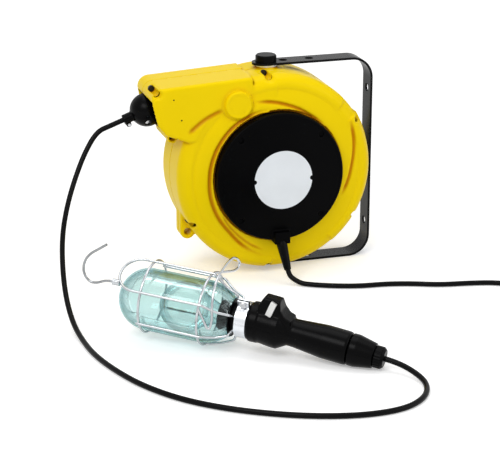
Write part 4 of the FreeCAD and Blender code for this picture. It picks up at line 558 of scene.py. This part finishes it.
COIL_AT = Vector((0.326, -0.190, 0.0))
SUPPLY = [
    (0.0002, -0.0685, 0.0485), (0.0019, -0.0781, 0.0310), (0.0036, -0.0881, 0.0127),
    (0.0080, -0.0930, 0.0080), (0.0165, -0.0995, 0.0036), (0.0260, -0.1055, LYING),
    (0.0380, -0.1120, LYING), (0.0600, -0.1215, LYING), (0.0870, -0.1290, LYING),
    (0.1170, -0.1310, LYING), (0.1480, -0.1390, LYING), (0.1820, -0.1535, LYING),
    (0.2180, -0.1585, LYING), (0.2500, -0.1660, LYING), (0.2710, -0.1800, LYING),
    (0.2795, -0.2010, LYING),
]
# The put-away length: three turns on the floor, winding inwards, then a little over two on top
# of them, winding outwards. The turns are drawn in steps of 24 degrees.
COIL_START = 212
COIL_STEP = 24
STEPS_A_TURN = 360 / COIL_STEP
LOWER_STEPS = 46
UPPER_STEPS = 35
TURN_PITCH = 0.0066
LOWER_OUTER, LOWER_INNER = 0.0435, 0.0297
UPPER_INNER, UPPER_OUTER = 0.0330, 0.0430
UPPER_HEIGHT = 0.0096
CLIMB = 4


def on_coil(step, radius, height):
    """The coil's point at a step of its winding."""
    angle = math.radians(COIL_START + step * COIL_STEP)
    return (COIL_AT.x + radius * math.cos(angle), COIL_AT.y + radius * math.sin(angle), height)


def coil_turns():
    """The points of the wound-up turns."""
    points = []
    for step in range(LOWER_STEPS):
        radius = max(LOWER_OUTER - TURN_PITCH * step / STEPS_A_TURN, LOWER_INNER)
        points.append(on_coil(step, radius, LYING))
    for step in range(UPPER_STEPS):
        risen = TURN_PITCH * step / STEPS_A_TURN
        height = min(LYING + CLIMB * risen, UPPER_HEIGHT)
        points.append(on_coil(LOWER_STEPS + step, min(UPPER_INNER + risen, UPPER_OUTER), height))
    return points


SUPPLY += coil_turns()
SUPPLY += [(0.3735, -0.1855, 0.0085), (0.3850, -0.1690, 0.0095), (0.3960, -0.1660, 0.0125),
           (0.4090, -0.1660, 0.0125)]
supply_cord = nurbs("supply_cord", SUPPLY, CORD, JACKET)
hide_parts("feed_cable", "feed_cable_coil", "feed_cable_end")


def make_tie():
    """A twist tie round the put-away turns, its loop given as radii and heights across them."""
    side = math.radians(100)
    toward = Vector((math.cos(side), math.sin(side), 0))
    section = [(0.0255, 0.0065), (0.0262, 0.0012), (0.0370, 0.0010), (0.0475, 0.0012), (0.0480, 0.0065),
               (0.0455, 0.0135), (0.0370, 0.0140), (0.0275, 0.0135), (0.0253, 0.0070)]
    loop = [COIL_AT + toward * reach + Vector((0, 0, height)) for reach, height in section]
    nurbs("coil_tie", loop, 0.0016, BLACK)


make_tie()


# ---------------------------------------------------------------- stage, light, camera
def floor_material():
    """White to the camera, with the shadows that fall on it."""
    mat = Nodes(bpy.data.materials.new("floor_white"))
    shader = mat.add("BsdfDiffuse", Color=(0.93, 0.93, 0.93, 1))
    glow = mat.add("Emission")
    glow.inputs["Color"].default_value = (1, 1, 1, 1)
    place = mat.add("TexCoord")
    away = mat.add("VectorMath", operation="LENGTH")
    mat.join(place, away, 0, "Object")
    level = mat.spread(away, FLOOR_GLOW, FAR_GLOW, "Value")
    level.inputs["From Min"].default_value = GLOW_FROM
    level.inputs["From Max"].default_value = GLOW_TO
    strength = mat.add("Math", operation="MULTIPLY")
    mat.join(mat.seen(), strength, 0)
    mat.join(level, strength, 1)
    mat.join(strength, glow, "Strength")
    both = mat.add("AddShader")
    mat.join(shader, both, 0)
    mat.join(glow, both, 1)
    mat.join(both, mat.output, "Surface")
    return mat.owner


def make_floor():
    mesh = bpy.data.meshes.new("floor")
    corners = [(-FLOOR_REACH, -FLOOR_REACH), (FLOOR_REACH, -FLOOR_REACH), (FLOOR_REACH, FLOOR_REACH),
               (-FLOOR_REACH, FLOOR_REACH)]
    mesh.from_pydata([(x, y, FLOOR) for x, y in corners], [], [(0, 1, 2, 3)])
    new_object("floor", mesh, floor_material(), None)


def make_world():
    """An even soft fill, which the camera, mirrors and glass see as plain white."""
    world = Nodes(bpy.data.worlds.new("studio"), "OutputWorld")
    scene.world = world.owner
    fill = world.add("Background", Strength=FILL)
    white = world.add("Background", Strength=1.0)
    for shade in (fill, white):
        shade.inputs["Color"].default_value = (1, 1, 1, 1)
    world.join(world.blend(world.seen(), fill, white), world.output, "Surface")


def area_light(name, location, target, size, watts):
    data = bpy.data.lights.new(name, "AREA")
    data.shape = "RECTANGLE"
    data.size, data.size_y = size
    data.energy = watts
    lamp = bpy.data.objects.new(name, data)
    scene.collection.objects.link(lamp)
    lamp.location = location
    aim = Vector(target) - Vector(location)
    lamp.rotation_euler = aim.to_track_quat("-Z", "Y").to_euler()


def make_camera():
    azimuth, elevation = math.radians(CAMERA_AZIMUTH), math.radians(CAMERA_ELEVATION)
    away = Vector((-math.sin(azimuth) * math.cos(elevation), math.cos(azimuth) * math.cos(elevation),
                   -math.sin(elevation)))
    data = bpy.data.cameras.new("camera")
    data.sensor_width = 36.0
    data.lens = CAMERA_LENS
    data.clip_end = 50
    camera = bpy.data.objects.new("camera", data)
    scene.collection.objects.link(camera)
    camera.location = CAMERA_AT
    camera.rotation_euler = away.to_track_quat("-Z", "Y").to_euler()
    scene.camera = camera


FLOOR = -0.0002
FLOOR_REACH = 6.0
# The floor's own glow near the reel, and where it rises to what it is far away.
FLOOR_GLOW = 0.33
FAR_GLOW = 0.9
GLOW_FROM = 0.9
GLOW_TO = 2.6
FILL = 0.45
CAMERA_AT = (-0.6337, -2.0223, 0.7867)
CAMERA_AZIMUTH = -16.86
CAMERA_ELEVATION = 19.21
CAMERA_LENS = 124.56
make_floor()
make_world()
area_light("key", location=(-1.3, -1.6, 1.9), target=(-0.05, -0.1, 0.12), size=(1.4, 1.0), watts=27)
area_light("fill", location=(1.7, -1.5, 1.2), target=(0, -0.1, 0.1), size=(1.6, 1.2), watts=11)
area_light("top", location=(0.1, 0.2, 2.2), target=(0, -0.1, 0.0), size=(1.8, 1.4), watts=14)
make_camera()
scene.view_settings.view_transform = "Standard"
